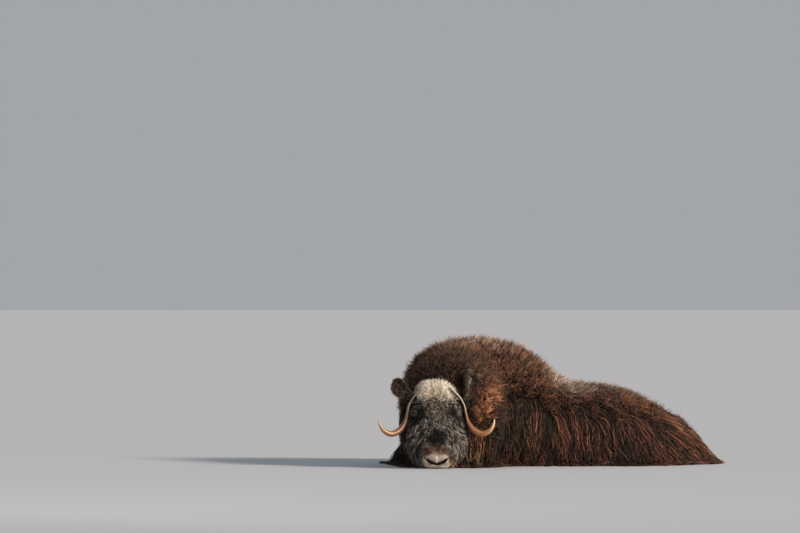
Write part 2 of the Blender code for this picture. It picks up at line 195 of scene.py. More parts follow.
def quads(a: Array, b: Array, c: Array, d: Array) -> Array:
    """Two triangles for each four-sided face, from the numbers of its corners in turn."""
    return np.concatenate([np.stack([a, b, c], -1), np.stack([a, c, d], -1)]).reshape(-1, 3)


def rings_mesh(rings: Array) -> Arrays:
    """Joins rings of points into one closed shape.

    Args:
        rings: (ring, point, xyz).

    Returns:
        Its points and its triangles, with a fan over each end.
    """
    count, sides = rings.shape[:2]
    k = np.arange(sides)
    after = (k + 1) % sides
    start = (np.arange(count - 1) * sides)[:, None]
    a, b = start + k, start + after
    walls = quads(a, b, b + sides, a + sides)
    first, last = count * sides, count * sides + 1
    low = np.stack([np.full(sides, first), after, k], -1)
    top = (count - 1) * sides
    high = np.stack([np.full(sides, last), top + k, top + after], -1)
    points = np.vstack([rings.reshape(-1, 3), rings[0].mean(0), rings[-1].mean(0)])
    return points, np.vstack([walls, low, high])


def tube_rings(centres: Array, way: Array, thin: Array, deep: Array, sides: int) -> Array:
    """Oval rings along a path.

    Args:
        centres: the path's points.
        way: a direction that the path never runs along; each ring's deep axis leans that way.
        thin: half the width across the way, at each point.
        deep: half the width along the way, at each point.
        sides: points in a ring.

    Returns:
        The rings, as rings_mesh takes them.
    """
    ahead = unit(np.gradient(centres, axis=0))
    across = unit(np.cross(ahead, way))
    depth = unit(np.cross(across, ahead))
    angle = turns(sides)
    return (
        centres[:, None]
        + (across * np.reshape(thin, (-1, 1)))[:, None] * np.cos(angle)[:, None]
        + (depth * np.reshape(deep, (-1, 1)))[:, None] * np.sin(angle)[:, None]
    )


def together(shapes: Iterable[Arrays]) -> Arrays:
    """Puts several shapes into one.

    Args:
        shapes: the points and the triangles of each.

    Returns:
        The points and the triangles of all.
    """
    points, triangles, count = [], [], 0
    for place, faces in shapes:
        points.append(place)
        triangles.append(faces + count)
        count += len(place)
    return np.vstack(points), np.vstack(triangles)


def vertex_normals(points: Array, triangles: Array) -> Array:
    """The mean direction of the faces round each point, weighed by their size.

    Args:
        points: a mesh's points.
        triangles: its faces.

    Returns:
        A unit vector for each point.
    """
    a, b, c = (points[triangles[:, i]] for i in range(3))
    face = np.cross(b - a, c - a)
    total = np.zeros_like(points)
    for i in range(3):
        np.add.at(total, triangles[:, i], face)
    return unit(total)


def in_scene(name: str, data: bpy.types.ID) -> Object:
    """Makes an object and links it to the scene.

    Args:
        name: the object's name.
        data: its mesh, light or camera.

    Returns:
        The object.
    """
    made = bpy.data.objects.new(name, data)
    bpy.context.scene.collection.objects.link(made)
    return made


def make_mesh(name: str, points: Array, triangles: Array) -> Object:
    """Makes a smooth-shaded mesh object of triangles.

    Args:
        name: the piece's name.
        points: its vertices, in the frame.
        triangles: three vertex numbers for each face.

    Returns:
        The object, in the scene.
    """
    mesh = bpy.data.meshes.new(name)
    mesh.vertices.add(len(points))
    mesh.vertices.foreach_set("co", np.asarray(points, np.float32).ravel())
    mesh.loops.add(triangles.size)
    mesh.loops.foreach_set("vertex_index", triangles.astype(np.int32).ravel())
    mesh.polygons.add(len(triangles))
    mesh.polygons.foreach_set("loop_start", np.arange(0, triangles.size, 3, dtype=np.int32))
    mesh.update(calc_edges=True)
    mesh.polygons.foreach_set("use_smooth", np.ones(len(triangles), bool))
    mesh.validate()
    return in_scene(name, mesh)


def triangles_of(mesh: bpy.types.Mesh) -> Arrays:
    """Reads a mesh into arrays.

    Args:
        mesh: the mesh.

    Returns:
        Its points and its triangles.
    """
    mesh.calc_loop_triangles()
    points = np.empty(len(mesh.vertices) * 3, np.float32)
    mesh.vertices.foreach_get("co", points)
    triangles = np.empty(len(mesh.loop_triangles) * 3, np.int32)
    mesh.loop_triangles.foreach_get("vertices", triangles)
    return points.reshape(-1, 3).astype(float), triangles.reshape(-1, 3)


def put_values(obj: Object, name: str, values: Array) -> None:
    """Stores a named number, vector or colour on each vertex.

    Args:
        obj: the piece.
        name: what a finish reads it by.
        values: a row for each vertex, of one, three or four numbers.
    """
    kinds = {1: ("FLOAT", "value"), 3: ("FLOAT_VECTOR", "vector"), 4: ("FLOAT_COLOR", "color")}
    kind, key = kinds[values.shape[1]]
    layer = obj.data.attributes.new(name, kind, "POINT")
    layer.data.foreach_set(key, np.asarray(values, np.float32).ravel())


def put_colour(obj: Object, colours: Array) -> None:
    """Stores a linear colour on each vertex."""
    put_values(obj, "coat_colour", np.column_stack([np.clip(colours, 0, 1), np.ones(len(colours))]))


def put_map(obj: Object, corners: Array) -> None:
    """Stores the flat map, a pair of numbers for each face corner."""
    layer = obj.data.uv_layers.get(MAP) or obj.data.uv_layers.new(name=MAP)
    layer.uv.foreach_set("vector", np.asarray(corners, np.float32).ravel())


def settle(obj: Object, look: Material, slot: str, *nodes: str) -> None:
    """Finishes a piece and ties it to the body.

    Args:
        obj: the piece.
        look: its material.
        slot: the record's material slot; not used.
        nodes: the frame's nodes that it stands for.
    """
    obj.data.materials.clear()
    obj.data.materials.append(look)
    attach(obj, "root")
    if nodes:
        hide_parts(*nodes)
    LOG.info("%s: %d triangles", obj.name, len(obj.data.polygons))


# Forms that lie under the coat


@dataclass(frozen=True)
class TrunkForm:
    """The trunk as upright sections along its own axis, each inside the coat by its depth."""

    withers: Triple = (-0.39, 0.0, 0.0)
    yaw: float = math.radians(9)
    back_line: Line = (
        (-0.80, 0.40), (-0.76, 0.525), (-0.68, 0.625), (-0.58, 0.678), (-0.45, 0.702),
        (-0.33, 0.700), (-0.21, 0.672), (-0.11, 0.615), (-0.02, 0.530), (0.07, 0.470),
        (0.17, 0.450), (0.30, 0.438), (0.42, 0.410), (0.54, 0.360), (0.66, 0.292),
        (0.76, 0.210), (0.83, 0.135), (0.90, 0.065), (0.955, 0.030),
    )
    half_width: Line = (
        (-0.80, 0.10), (-0.76, 0.19), (-0.66, 0.275), (-0.50, 0.330), (-0.30, 0.355),
        (-0.05, 0.370), (0.20, 0.385), (0.40, 0.375), (0.55, 0.330), (0.70, 0.255),
        (0.80, 0.185), (0.90, 0.100), (0.955, 0.040),
    )
    top_depth: Line = (
        (-0.75, 0.060), (-0.45, 0.068), (-0.15, 0.062), (0.02, 0.042), (0.15, 0.034),
        (0.35, 0.036), (0.55, 0.044), (0.70, 0.052), (0.83, 0.052), (0.90, 0.036),
    )
    side_depth: Line = (
        (-0.75, 0.050), (-0.45, 0.062), (0.10, 0.066), (0.50, 0.066), (0.70, 0.064),
        (0.84, 0.060),
    )
    reach: Pair = (-0.745, 0.905)
    coat_ends: Pair = (-0.915, 0.985)
    front_slack: float = 0.06
    rear_slack: float = 0.055
    ragged: float = 0.012
    ragged_pattern: Pair = (0.02, 8.1)
    rear_curve: float = 2.2
    rear_foot: float = 0.12
    far_side: float = 0.632
    far_slack: float = 0.06
    hump_top: float = 0.726
    top_slack: float = 0.015
    flare: Pair = (0.10, 0.16)
    stations: int = 60
    sides: int = 48

    def axes(self) -> Arrays:
        """The way along the trunk to the rump, and the way across it to its right."""
        ahead = np.array([math.cos(self.yaw), math.sin(self.yaw), 0.0])
        return ahead, np.array([-ahead[1], ahead[0], 0.0])

    def place(self, x: Array, y: Array | float, z: Array | float) -> Array:
        """Points of the body, given in the trunk's axes.

        Args:
            x: how far along the trunk.
            y: how far across it, to its right.
            z: how high.

        Returns:
            The points.
        """
        ahead, across = self.axes()
        x, y, z = (part[..., None] for part in np.broadcast_arrays(x, y, z))
        return np.array(self.withers) + (x - self.withers[0]) * ahead + y * across + z * UP

    def local(self, points: Array) -> Array:
        """Points of the body, read in the trunk's axes.

        Args:
            points: the points.

        Returns:
            How far each lies along the trunk, across it and up.
        """
        ahead, across = self.axes()
        off = points - np.array(self.withers)
        return np.stack([self.withers[0] + off @ ahead, off @ across, points[..., 2]], -1)

    def drawn_in(self, points: Array) -> Array:
        """Keeps the coat's tips behind its two ends, its far side and its top.

        Args:
            points: points of hair on the body.

        Returns:
            The points, with those that come near an end drawn in softly.
        """
        (x, y, z), ahead = np.moveaxis(self.local(points), -1, 0), self.axes()[0]
        near, far = self.coat_ends
        uneven = ripple(points.reshape(-1, 3), *self.ragged_pattern).reshape(z.shape)
        sloped = self.rear_foot * np.tanh(z / self.rear_foot) + self.ragged * uneven
        behind = excess(x + self.rear_curve * y**2 + sloped, far, self.rear_slack)
        points = points + (excess(-x, -near, self.front_slack) - behind) * ahead
        over_side = excess(points[..., 1] + SHIFT[1], self.far_side, self.far_slack)
        over_top = excess(points[..., 2] + SHIFT[2], self.hump_top, self.top_slack)
        return points - over_side * BACK - over_top * UP

    def rings(self) -> Array:
        """The trunk's flesh.

        Returns:
            Its sections, from chest to rump.
        """
        t = close_at_ends(self.stations)
        x = blend(self.reach[0], self.reach[1], t)
        top = value_along(self.back_line, x) - value_along(self.top_depth, x)
        half = value_along(self.half_width, x) - value_along(self.side_depth, x)
        across = self.axes()[1]
        return upright_rings(self.place(x, 0.0, 0.0), across, half, top, self.flare, self.sides)


@dataclass(frozen=True)
class NeckForm:
    """The neck, which bends from the shoulders round to the head, inside the mane."""

    path: tuple[Pair, ...] = (
        (-0.40, 0.06), (-0.47, -0.12), (-0.53, -0.29), (-0.545, -0.41), (-0.555, -0.480),
    )
    top: Line = (
        (0.0, 0.690), (0.35, 0.655), (0.70, 0.600), (0.88, 0.540), (0.96, 0.490), (1.0, 0.420),
    )
    half_width: Line = (
        (0.0, 0.330), (0.35, 0.315), (0.70, 0.302), (0.88, 0.278), (0.96, 0.240), (1.0, 0.165),
    )
    top_depth: Line = ((0.0, 0.066), (0.5, 0.062), (0.8, 0.054), (1.0, 0.045))
    side_depth: float = 0.060
    flare: Pair = (-0.16, 0.30)
    reach: float = 0.94
    stations: int = 32
    sides: int = 48

    def rings(self) -> Array:
        """The neck's flesh.

        Returns:
            Its sections, from the shoulders forward.
        """
        steps = np.linspace(0, 1, len(self.path))
        t = np.linspace(0, self.reach, self.stations)
        centre = np.zeros((self.stations, 3))
        for axis in range(2):
            line = tuple(zip(steps, (point[axis] for point in self.path)))
            centre[:, axis] = value_along(line, t)
        ahead = unit(np.gradient(centre, axis=0))
        across = np.stack([ahead[:, 1], -ahead[:, 0], ahead[:, 2]], -1)
        top = value_along(self.top, t) - value_along(self.top_depth, t)
        half = value_along(self.half_width, t) - self.side_depth
        return upright_rings(centre, across, half, top, self.flare, self.sides)


def upright_rings(
    centre: Array, across: Array, half: Array, top: Array, flare: Pair, sides: int
) -> Array:
    """Upright sections, round above and full down to the floor.

    Args:
        centre: where each section stands.
        across: the way that it is wide.
        half: half of its width.
        top: its height.
        flare: share by which it widens at the floor, and the height below which it does.
        sides: points in a section.

    Returns:
        The sections as rings.
    """
    floor_gap, widest, round_above, full_below = 0.012, 0.40, 2.15, 3.2
    angle = turns(sides)
    u, v = np.sin(angle), np.cos(angle)
    top, half = top[:, None], half[:, None]
    middle = widest * top
    upper = v > 0
    z = np.where(
        upper,
        middle + (top - middle) * bent(v, round_above),
        middle + (middle - floor_gap) * bent(v, full_below),
    )
    wide = np.where(upper, bent(u, round_above), bent(u, full_below))
    spread = 1 + flare[0] * np.clip(1 - z / flare[1], 0, None) ** 2
    rings = centre[:, None] + np.reshape(across, (-1, 1, 3)) * (half * wide * spread)[..., None]
    rings[..., 2] = z
    return rings


@dataclass(frozen=True)
class HeadForm:
    """Skull, cheeks and muzzle, as sections across the face, in the head's own axes.

    These are x to its left, along the face to the muzzle, and out of the forehead, from a point
    midway between the eyes.
    """

    middle: Triple = (-0.617, -0.560, 0.294)
    tilt: float = math.radians(30)
    top: Line = (
        (-0.215, -0.075), (-0.200, -0.015), (-0.165, 0.035), (-0.10, 0.060), (0.0, 0.058),
        (0.08, 0.053), (0.16, 0.052), (0.22, 0.051), (0.26, 0.040), (0.29, 0.015), (0.302, -0.02),
    )
    under: Line = (
        (-0.215, -0.120), (-0.200, -0.170), (-0.165, -0.205), (-0.10, -0.220), (0.0, -0.215),
        (0.08, -0.200), (0.16, -0.175), (0.22, -0.145), (0.26, -0.125), (0.29, -0.100),
        (0.302, -0.055),
    )
    half_width: Line = (
        (-0.215, 0.050), (-0.200, 0.086), (-0.165, 0.110), (-0.10, 0.124), (-0.04, 0.141),
        (0.02, 0.144), (0.07, 0.138), (0.12, 0.130), (0.17, 0.116), (0.215, 0.096), (0.25, 0.083),
        (0.29, 0.066), (0.302, 0.030),
    )
    cheek_spread: Line = (
        (-0.12, -0.10), (-0.03, 0.0), (0.05, 0.35), (0.12, 0.75), (0.18, 1.05), (0.23, 0.95),
        (0.27, 0.35), (0.302, 0.0),
    )
    top_depth: Line = (
        (-0.20, 0.020), (-0.12, 0.013), (-0.05, 0.011), (0.05, 0.009), (0.16, 0.008),
        (0.215, 0.006), (0.25, 0.001), (0.302, 0.001),
    )
    side_depth: Line = (
        (-0.20, 0.020), (-0.08, 0.014), (0.0, 0.009), (0.05, 0.018), (0.10, 0.030), (0.15, 0.032),
        (0.20, 0.014), (0.24, 0.003), (0.302, 0.001),
    )
    under_depth: Line = ((-0.20, 0.040), (0.0, 0.035), (0.15, 0.030), (0.25, 0.006), (0.302, 0.001))
    poll_gap: float = 0.012
    lip_gap: float = 0.001
    cheek_kept: float = 0.42
    brow_square: float = 2.7
    cheek_round: float = 2.2
    stations: int = 64
    sides: int = 64

    def axes(self) -> Array:
        """The head's three axes, a row each."""
        sine, cosine = math.sin(self.tilt), math.cos(self.tilt)
        return np.array([[1.0, 0.0, 0.0], [0.0, -sine, -cosine], [0.0, -cosine, sine]])

    def place(self, local: Array) -> Array:
        """Points given in the head's axes."""
        return np.array(self.middle) + np.asarray(local) @ self.axes()

    def local(self, points: Array) -> Array:
        """Points read in the head's axes."""
        return (points - np.array(self.middle)) @ self.axes().T

    def rings(self) -> Array:
        """The head's flesh.

        Returns:
            Its sections, from the poll to the lips.
        """
        first, last = self.top[0][0] + self.poll_gap, self.top[-1][0] - self.lip_gap
        t = close_at_ends(self.stations)
        along = blend(first, last, t)[:, None]
        top = value_along(self.top, along) - value_along(self.top_depth, along)
        under = value_along(self.under, along) + value_along(self.under_depth, along)
        half = value_along(self.half_width, along) - value_along(self.side_depth, along)
        spread = value_along(self.cheek_spread, along) * self.cheek_kept
        angle = turns(self.sides)
        u, v = np.sin(angle), np.cos(angle)
        power = np.where(v > 0, self.brow_square, self.cheek_round)
        out = (top + under) / 2 + (top - under) / 2 * bent(v, power)
        low = (top - out) / (top - under)
        wide = half * bent(u, power) * (1 + spread * low**2)
        return self.place(np.stack([wide, np.broadcast_to(along, wide.shape), out], -1))


TRUNK = TrunkForm()
NECK = NeckForm()
HEAD = HeadForm()


@dataclass(frozen=True)
class EyePlace:
    """Where the eyes sit in the head, and how the lids open over them."""

    radius: float = 0.0205
    side: float = 0.1115
    along: float = 0.004
    out: float = 0.003
    gaze: Triple = (0.58, -0.81, 0.06)
    half_long: float = math.radians(44)
    half_high: float = math.radians(27)
    pinch: float = 0.10

    def centre(self, side: int) -> Array:
        """The middle of one eyeball: side is 1 for its left and -1 for its right."""
        return HEAD.place(np.array([side * self.side, self.along, self.out]))

    def axes(self, side: int) -> Array:
        """Which way one eye faces.

        Args:
            side: 1 for its left, -1 for its right.

        Returns:
            The way it looks, the way to its outer corner and the way up, a row each.
        """
        look = unit(np.array(self.gaze) * np.array([side, 1, 1]))
        up = unit(UP - look * look[2])
        return np.stack([look, np.cross(up, look) * side, up])

    def edge(self, turn: Array) -> Array:
        """The edge of the lids, an almond.

        Args:
            turn: angles round the eye.

        Returns:
            How far from the gaze the edge lies at each, as an angle.
        """
        wide, high = self.half_long, self.half_high
        oval = 1 / np.sqrt((np.cos(turn) / wide) ** 2 + (np.sin(turn) / high) ** 2)
        return oval * (1 - self.pinch * np.sin(2 * turn) ** 2)

    def distance(self, points: Array) -> Array:
        """How far points lie from the middle of the nearer eyeball."""
        return np.minimum(*(np.linalg.norm(points - self.centre(side), axis=1) for side in SIDES))


EYE = EyePlace()
SHIFT = np.array(sum(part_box("eye_left"), Vector()) / 2) - EYE.centre(1)


# Markings


class Axes(Enum):
    """Which axes a mark is given in."""

    TRUNK = "along the trunk, across it to its right, up"
    HEAD = "to its left, along the face, out of the forehead"
    BODY = "x, y, z of the whole body, before SHIFT"


@dataclass(frozen=True)
class Mark:
    """One marking: soft-edged, centred on a place or on the line between two."""

    axes: Axes
    centre: Triple
    radii: Triple
    under: str
    tips: str
    strength: float = 1.0
    to: Triple | None = None
    mirrored: bool = False
    soft: float = 0.35

    def share(self, places: dict[Axes, Array]) -> Array:
        """How much of this mark each point takes.

        Args:
            places: the points in each set of axes.

        Returns:
            A column of shares from 0 to 1.
        """
        points = places[self.axes]
        if self.mirrored:
            points = np.abs(points * [1, 0, 0]) + points * [0, 1, 1]
        start, radii = np.array(self.centre), np.array(self.radii)
        off = (points - start) / radii
        if self.to is not None:
            run = (np.array(self.to) - start) / radii
            t = np.clip(off @ run / (run @ run), 0, 1)[:, None]
            off = off - t * run
        far = np.linalg.norm(off, axis=1)
        return (self.strength * (1 - ease(1 - self.soft, 1 + self.soft, far)))[:, None]


@dataclass(frozen=True)
class Markings:
    """The colours of hair and skin by place: near the skin, and at the tips. Some marks are painted
    light and painted shade.
    """

    under: str = "#190e0b"
    tips: str = "#8c5442"
    edge_wave: float = 0.07
    edge_shift: float = 0.010
    edge_salts: Triple = (1.3, 2.9, 4.1)
    marks: tuple[Mark, ...] = (
        Mark(Axes.TRUNK, (-0.35, 0.0, 0.62), (0.50, 0.60, 0.27), "#22130d", "#a37058", 0.95),
        # Pale frizz over the hump's top: partly the wool's pale tips, partly a painted highlight for the
        # rim of light along the top
        Mark(Axes.TRUNK, (-0.36, 0.0, 0.70), (0.34, 0.50, 0.12), "#40291f", "#f4ccb2", 0.95),
        Mark(Axes.TRUNK, (-0.08, 0.0, 0.56), (0.20, 0.40, 0.13), "#302018", "#a37860", 0.85),
        Mark(Axes.TRUNK, (0.13, 0.0, 0.45), (0.19, 0.42, 0.085), "#6a564a", "#e0d0c2", 0.90),
        Mark(Axes.TRUNK, (0.44, 0.0, 0.42), (0.26, 0.36, 0.085), "#33231c", "#a08370", 0.85),
        Mark(
            Axes.TRUNK, (0.42, -0.20, 0.33), (0.05, 0.075, 0.045), "#4a2c1c", "#a06a44", 0.85,
            to=(0.86, -0.08, 0.07),
        ),
        Mark(Axes.TRUNK, (0.70, 0.06, 0.25), (0.22, 0.13, 0.12), "#2a1a14", "#6f5a4b", 0.70),
        Mark(
            Axes.TRUNK, (0.10, -0.37, 0.30), (0.045, 0.08, 0.10), "#42271a", "#94603c", 0.70,
            to=(0.16, -0.40, 0.04),
        ),
        Mark(Axes.TRUNK, (-0.06, -0.36, 0.11), (0.16, 0.10, 0.10), "#3a2018", "#8a4f3a", 0.60),
        Mark(Axes.BODY, (-0.60, -0.36, 0.55), (0.26, 0.16, 0.14), "#20140f", "#57402f", 0.75),
        # Near-black on the left side of mane and chest: painted shade of the side turned away from the
        # key light
        Mark(Axes.BODY, (-0.87, -0.15, 0.20), (0.15, 0.50, 0.38), "#14100e", "#352822", 0.90),
        Mark(
            Axes.BODY, (-0.360, -0.26, 0.58), (0.070, 0.20, 0.06), "#2a1811", "#7c523e", 0.70,
            to=(-0.340, -0.30, 0.50),
        ),
        # Pale orange strip down the right edge of the neck: painted highlight where the light strikes
        # that edge
        Mark(
            Axes.BODY, (-0.362, -0.33, 0.37), (0.045, 0.20, 0.05), "#7c4930", "#e6a474", 1.0,
            to=(-0.400, -0.38, 0.20),
        ),
        # Near-black band in the crease between mane and shoulder: painted shade
        Mark(
            Axes.BODY, (-0.280, -0.33, 0.45), (0.034, 0.20, 0.05), "#0d0706", "#3c2318", 0.90,
            to=(-0.315, -0.37, 0.22),
        ),
        # Near-black low between mane and flank near the floor: painted shade
        Mark(Axes.BODY, (-0.35, -0.38, 0.10), (0.07, 0.20, 0.14), "#120a08", "#3c251b", 0.90),
        # Grey beard hair on the right of the jaw: grey hair, painted lighter on this lit side only,
        # partly a painted highlight
        Mark(
            Axes.BODY, (-0.410, -0.43, 0.24), (0.040, 0.14, 0.05), "#33261f", "#8f7868", 0.85,
            to=(-0.430, -0.47, 0.05),
        ),
        Mark(Axes.HEAD, (0.0, 0.075, -0.01), (0.24, 0.21, 0.24), "#0e0c0b", "#d8ccbf", 1.0, soft=0.10),
        Mark(
            Axes.HEAD, (0.115, 0.14, -0.06), (0.065, 0.12, 0.11), "#37322e", "#c6bbae", 0.90,
            mirrored=True,
        ),
        # Darker cheek on the head's right side only: painted shade of the side away from the key light
        Mark(Axes.HEAD, (-0.130, 0.15, -0.05), (0.06, 0.14, 0.12), "#161413", "#6a6867", 0.65),
        Mark(Axes.HEAD, (0.0, 0.165, 0.05), (0.048, 0.050, 0.04), "#090706", "#171210", 1.0),
        Mark(
            Axes.HEAD, (0.098, 0.012, 0.03), (0.046, 0.042, 0.05), "#0f0b0a", "#2a2320", 0.95,
            mirrored=True,
        ),
        Mark(
            Axes.HEAD, (0.165, -0.085, 0.0), (0.052, 0.065, 0.08), "#100b09", "#35271f", 0.95,
            mirrored=True,
        ),
        Mark(
            Axes.HEAD, (0.050, -0.132, 0.06), (0.080, 0.072, 0.09), "#e0cdb2", "#fff6e6", 1.0,
            mirrored=True,
        ),
        Mark(Axes.HEAD, (0.0, -0.03, 0.06), (0.050, 0.09, 0.05), "#5c5042", "#d0c4b0", 0.60),
        Mark(Axes.HEAD, (0.0, -0.262, 0.0), (0.30, 0.074, 0.30), "#160e0b", "#4a3528", 1.0, soft=0.10),
        Mark(Axes.HEAD, (0.0, 0.234, 0.04), (0.078, 0.018, 0.04), "#3a2219", "#95603f", 0.85),
        Mark(Axes.HEAD, (0.090, 0.262, -0.06), (0.058, 0.048, 0.07), "#b08f72", "#ecc9a4", 0.95),
        Mark(Axes.HEAD, (0.0, 0.292, -0.01), (0.104, 0.044, 0.075), "#dcc4a8", "#fff0da", 1.0),
        Mark(Axes.HEAD, (0.0, 0.300, -0.06), (0.080, 0.03, 0.035), "#cfc6b8", "#e6dfd3", 0.9),
    )

    def read(self, points: Array, on_head: Array) -> Arrays:
        """The two colours at each point.

        Args:
            points: places on or over the skin, before SHIFT.
            on_head: 1 where a point belongs to the head, else 0.

        Returns:
            The linear colour near the skin, and the one at the hair's tips.
        """
        uneven = np.stack([ripple(points, self.edge_wave, salt) for salt in self.edge_salts], -1)
        broken = points + self.edge_shift * uneven
        places = {Axes.BODY: broken, Axes.TRUNK: TRUNK.local(broken), Axes.HEAD: HEAD.local(broken)}
        under = np.tile(linear(self.under), (len(points), 1))
        tips = np.tile(linear(self.tips), (len(points), 1))
        for mark in self.marks:
            share = mark.share(places)
            if mark.axes is Axes.HEAD:
                share = share * on_head[:, None]
            under = blend(under, linear(mark.under), share)
            tips = blend(tips, linear(mark.tips), share)
        return under, tips


MARKINGS = Markings()


# Finishes


def add_node(
    tree: bpy.types.NodeTree, kind: str, inputs: dict | None = None, **settings: object
) -> bpy.types.Node:
    """Adds a node with its settings, its socket values and its links.

    Args:
        tree: the material's nodes.
        kind: the node's type without its first word, such as "TexNoise".
        inputs: by socket name or number, a value, or another node's output to link.
        settings: the node's own properties.

    Returns:
        The node.
    """
    made = tree.nodes.new("ShaderNode" + kind)
    for name, value in settings.items():
        setattr(made, name, value)
    for socket, value in (inputs or {}).items():
        if isinstance(value, Socket):
            tree.links.new(value, made.inputs[socket])
        else:
            made.inputs[socket].default_value = value
    return made


def new_material(name: str) -> tuple[Material, Add]:
    """Makes an empty material.

    Args:
        name: what it is called.

    Returns:
        The material, and what adds a node to it.
    """
    made = bpy.data.materials.new(name)
    made.use_nodes = True
    made.node_tree.nodes.clear()
    return made, partial(add_node, made.node_tree)


def set_ramp(ramp: bpy.types.Node, stops: Iterable[tuple[float, str]]) -> bpy.types.Node:
    """Gives a colour ramp its stops.

    Args:
        ramp: the node.
        stops: for each, a place from 0 to 1 and an sRGB hex colour.

    Returns:
        The node.
    """
    elements = ramp.color_ramp.elements
    while len(elements) > 1:
        elements.remove(elements[-1])
    for i, (place, colour) in enumerate(stops):
        stop = elements[0] if i == 0 else elements.new(place)
        stop.position = place
        stop.color = (*linear(colour), 1.0)
    return ramp


NOISE_SPAN = (0.3, 0.7)


def ranged(value: Socket, to: Pair, span: Pair) -> dict:
    """The inputs that turn one span of values into another."""
    return {"Value": value, "From Min": span[0], "From Max": span[1], "To Min": to[0], "To Max": to[1]}


def mottled(add: Add, colour: Socket, pattern: Socket, to: Pair, span: Pair = NOISE_SPAN) -> Socket:
    """Darkens and lightens a colour by a pattern.

    Args:
        add: what adds a node to the material.
        colour: the colour.
        pattern: the pattern's value.
        to: what the colour is multiplied by at the pattern's low and at its high end.
        span: the pattern's values at those ends.

    Returns:
        The changed colour.
    """
    level = add("MapRange", ranged(pattern, to, span))
    inputs = {0: colour, "Scale": level.outputs["Result"]}
    return add("VectorMath", inputs, operation="SCALE").outputs[0]


def close_tree(add: Add, **inputs: object) -> None:
    """Adds the surface shader and the output.

    Args:
        add: what adds a node to the material.
        inputs: the shader's inputs by name, with a low line for each space.
    """
    named = {name.replace("_", " "): value for name, value in inputs.items()}
    shader = add("BsdfPrincipled", named)
    add("OutputMaterial", {"Surface": shader.outputs["BSDF"]})


@dataclass(frozen=True)
class HairFinish:
    """Grown hair in tufts: matt keratin fibres, each tuft streaked along its length.

    The streaks give the eye single hairs within a tuft, and the sheen gives the pale edge that
    low light draws round a coat.
    """

    name: str
    roughness: float
    sheen: float
    sheen_colour: str
    hairs_across: float = 5.0
    bumps_along: float = 4.0
    tufts_apart: float = 211.0
    streaked: Pair = (0.62, 1.38)
    hair_depth: float = 0.001

    def build(self) -> Material:
        """Makes the material.

        Returns:
            The material, which reads each tuft's colour and its place on the tuft.
        """
        made, add = new_material(self.name)
        colour = add("Attribute", attribute_name="coat_colour")
        place = add("Attribute", attribute_name="hair_place")
        across = add(
            "VectorMath",
            {0: place.outputs["Vector"], 1: (self.hairs_across, self.bumps_along, self.tufts_apart)},
            operation="MULTIPLY",
        )
        streaks = add(
            "TexNoise",
            {"Vector": across.outputs[0], "Scale": 1.0, "Detail": 2.0, "Roughness": 0.6},
        ).outputs["Fac"]
        rough = (self.roughness + 0.08, self.roughness - 0.08)
        gloss = add("MapRange", ranged(streaks, rough, NOISE_SPAN))
        bump = add("Bump", {"Height": streaks, "Strength": 0.5, "Distance": self.hair_depth})
        close_tree(
            add, Base_Color=mottled(add, colour.outputs["Color"], streaks, self.streaked),
            Roughness=gloss.outputs["Result"], Normal=bump.outputs["Normal"], IOR=1.55,
            Specular_IOR_Level=0.18, Sheen_Weight=self.sheen, Sheen_Roughness=0.45,
            Sheen_Tint=(*linear(self.sheen_colour), 1.0),
        )
        return made


@dataclass(frozen=True)
class HideFinish:
    """Live skin under short hair: matt where hair grows, finely pebbled and moist on the nose."""

    name: str = "hide"
    wrinkle_mm: float = 14.0
    pebble_mm: float = 2.2
    grain_depth: float = 0.0015
    roughness: Pair = (0.82, 0.36)

    def build(self) -> Material:
        """Makes the material.

        Returns:
            The material, which reads the skin's colour and how moist it is.
        """
        made, add = new_material(self.name)
        colour = add("Attribute", attribute_name="coat_colour")
        moist = add("Attribute", attribute_name="moist").outputs["Fac"]
        where = add("TexCoord").outputs["Object"]
        nap = add(
            "TexNoise",
            {"Vector": where, "Scale": 1000 / self.wrinkle_mm, "Detail": 5.0, "Roughness": 0.65},
        ).outputs["Fac"]
        pebbles = add(
            "TexVoronoi", {"Vector": where, "Scale": 1000 / self.pebble_mm},
            feature="DISTANCE_TO_EDGE",
        )
        rough = add("MapRange", ranged(moist, self.roughness, (0.0, 1.0)))
        height = add("Mix", {"Factor": moist, "A": nap, "B": pebbles.outputs["Distance"]})
        bump = add(
            "Bump",
            {"Height": height.outputs["Result"], "Strength": 0.6, "Distance": self.grain_depth},
        )
        close_tree(
            add, Base_Color=mottled(add, colour.outputs["Color"], nap, (0.75, 1.2)),
            Roughness=rough.outputs["Result"], Normal=bump.outputs["Normal"], IOR=1.40,
            Specular_IOR_Level=0.35,
        )
        return made


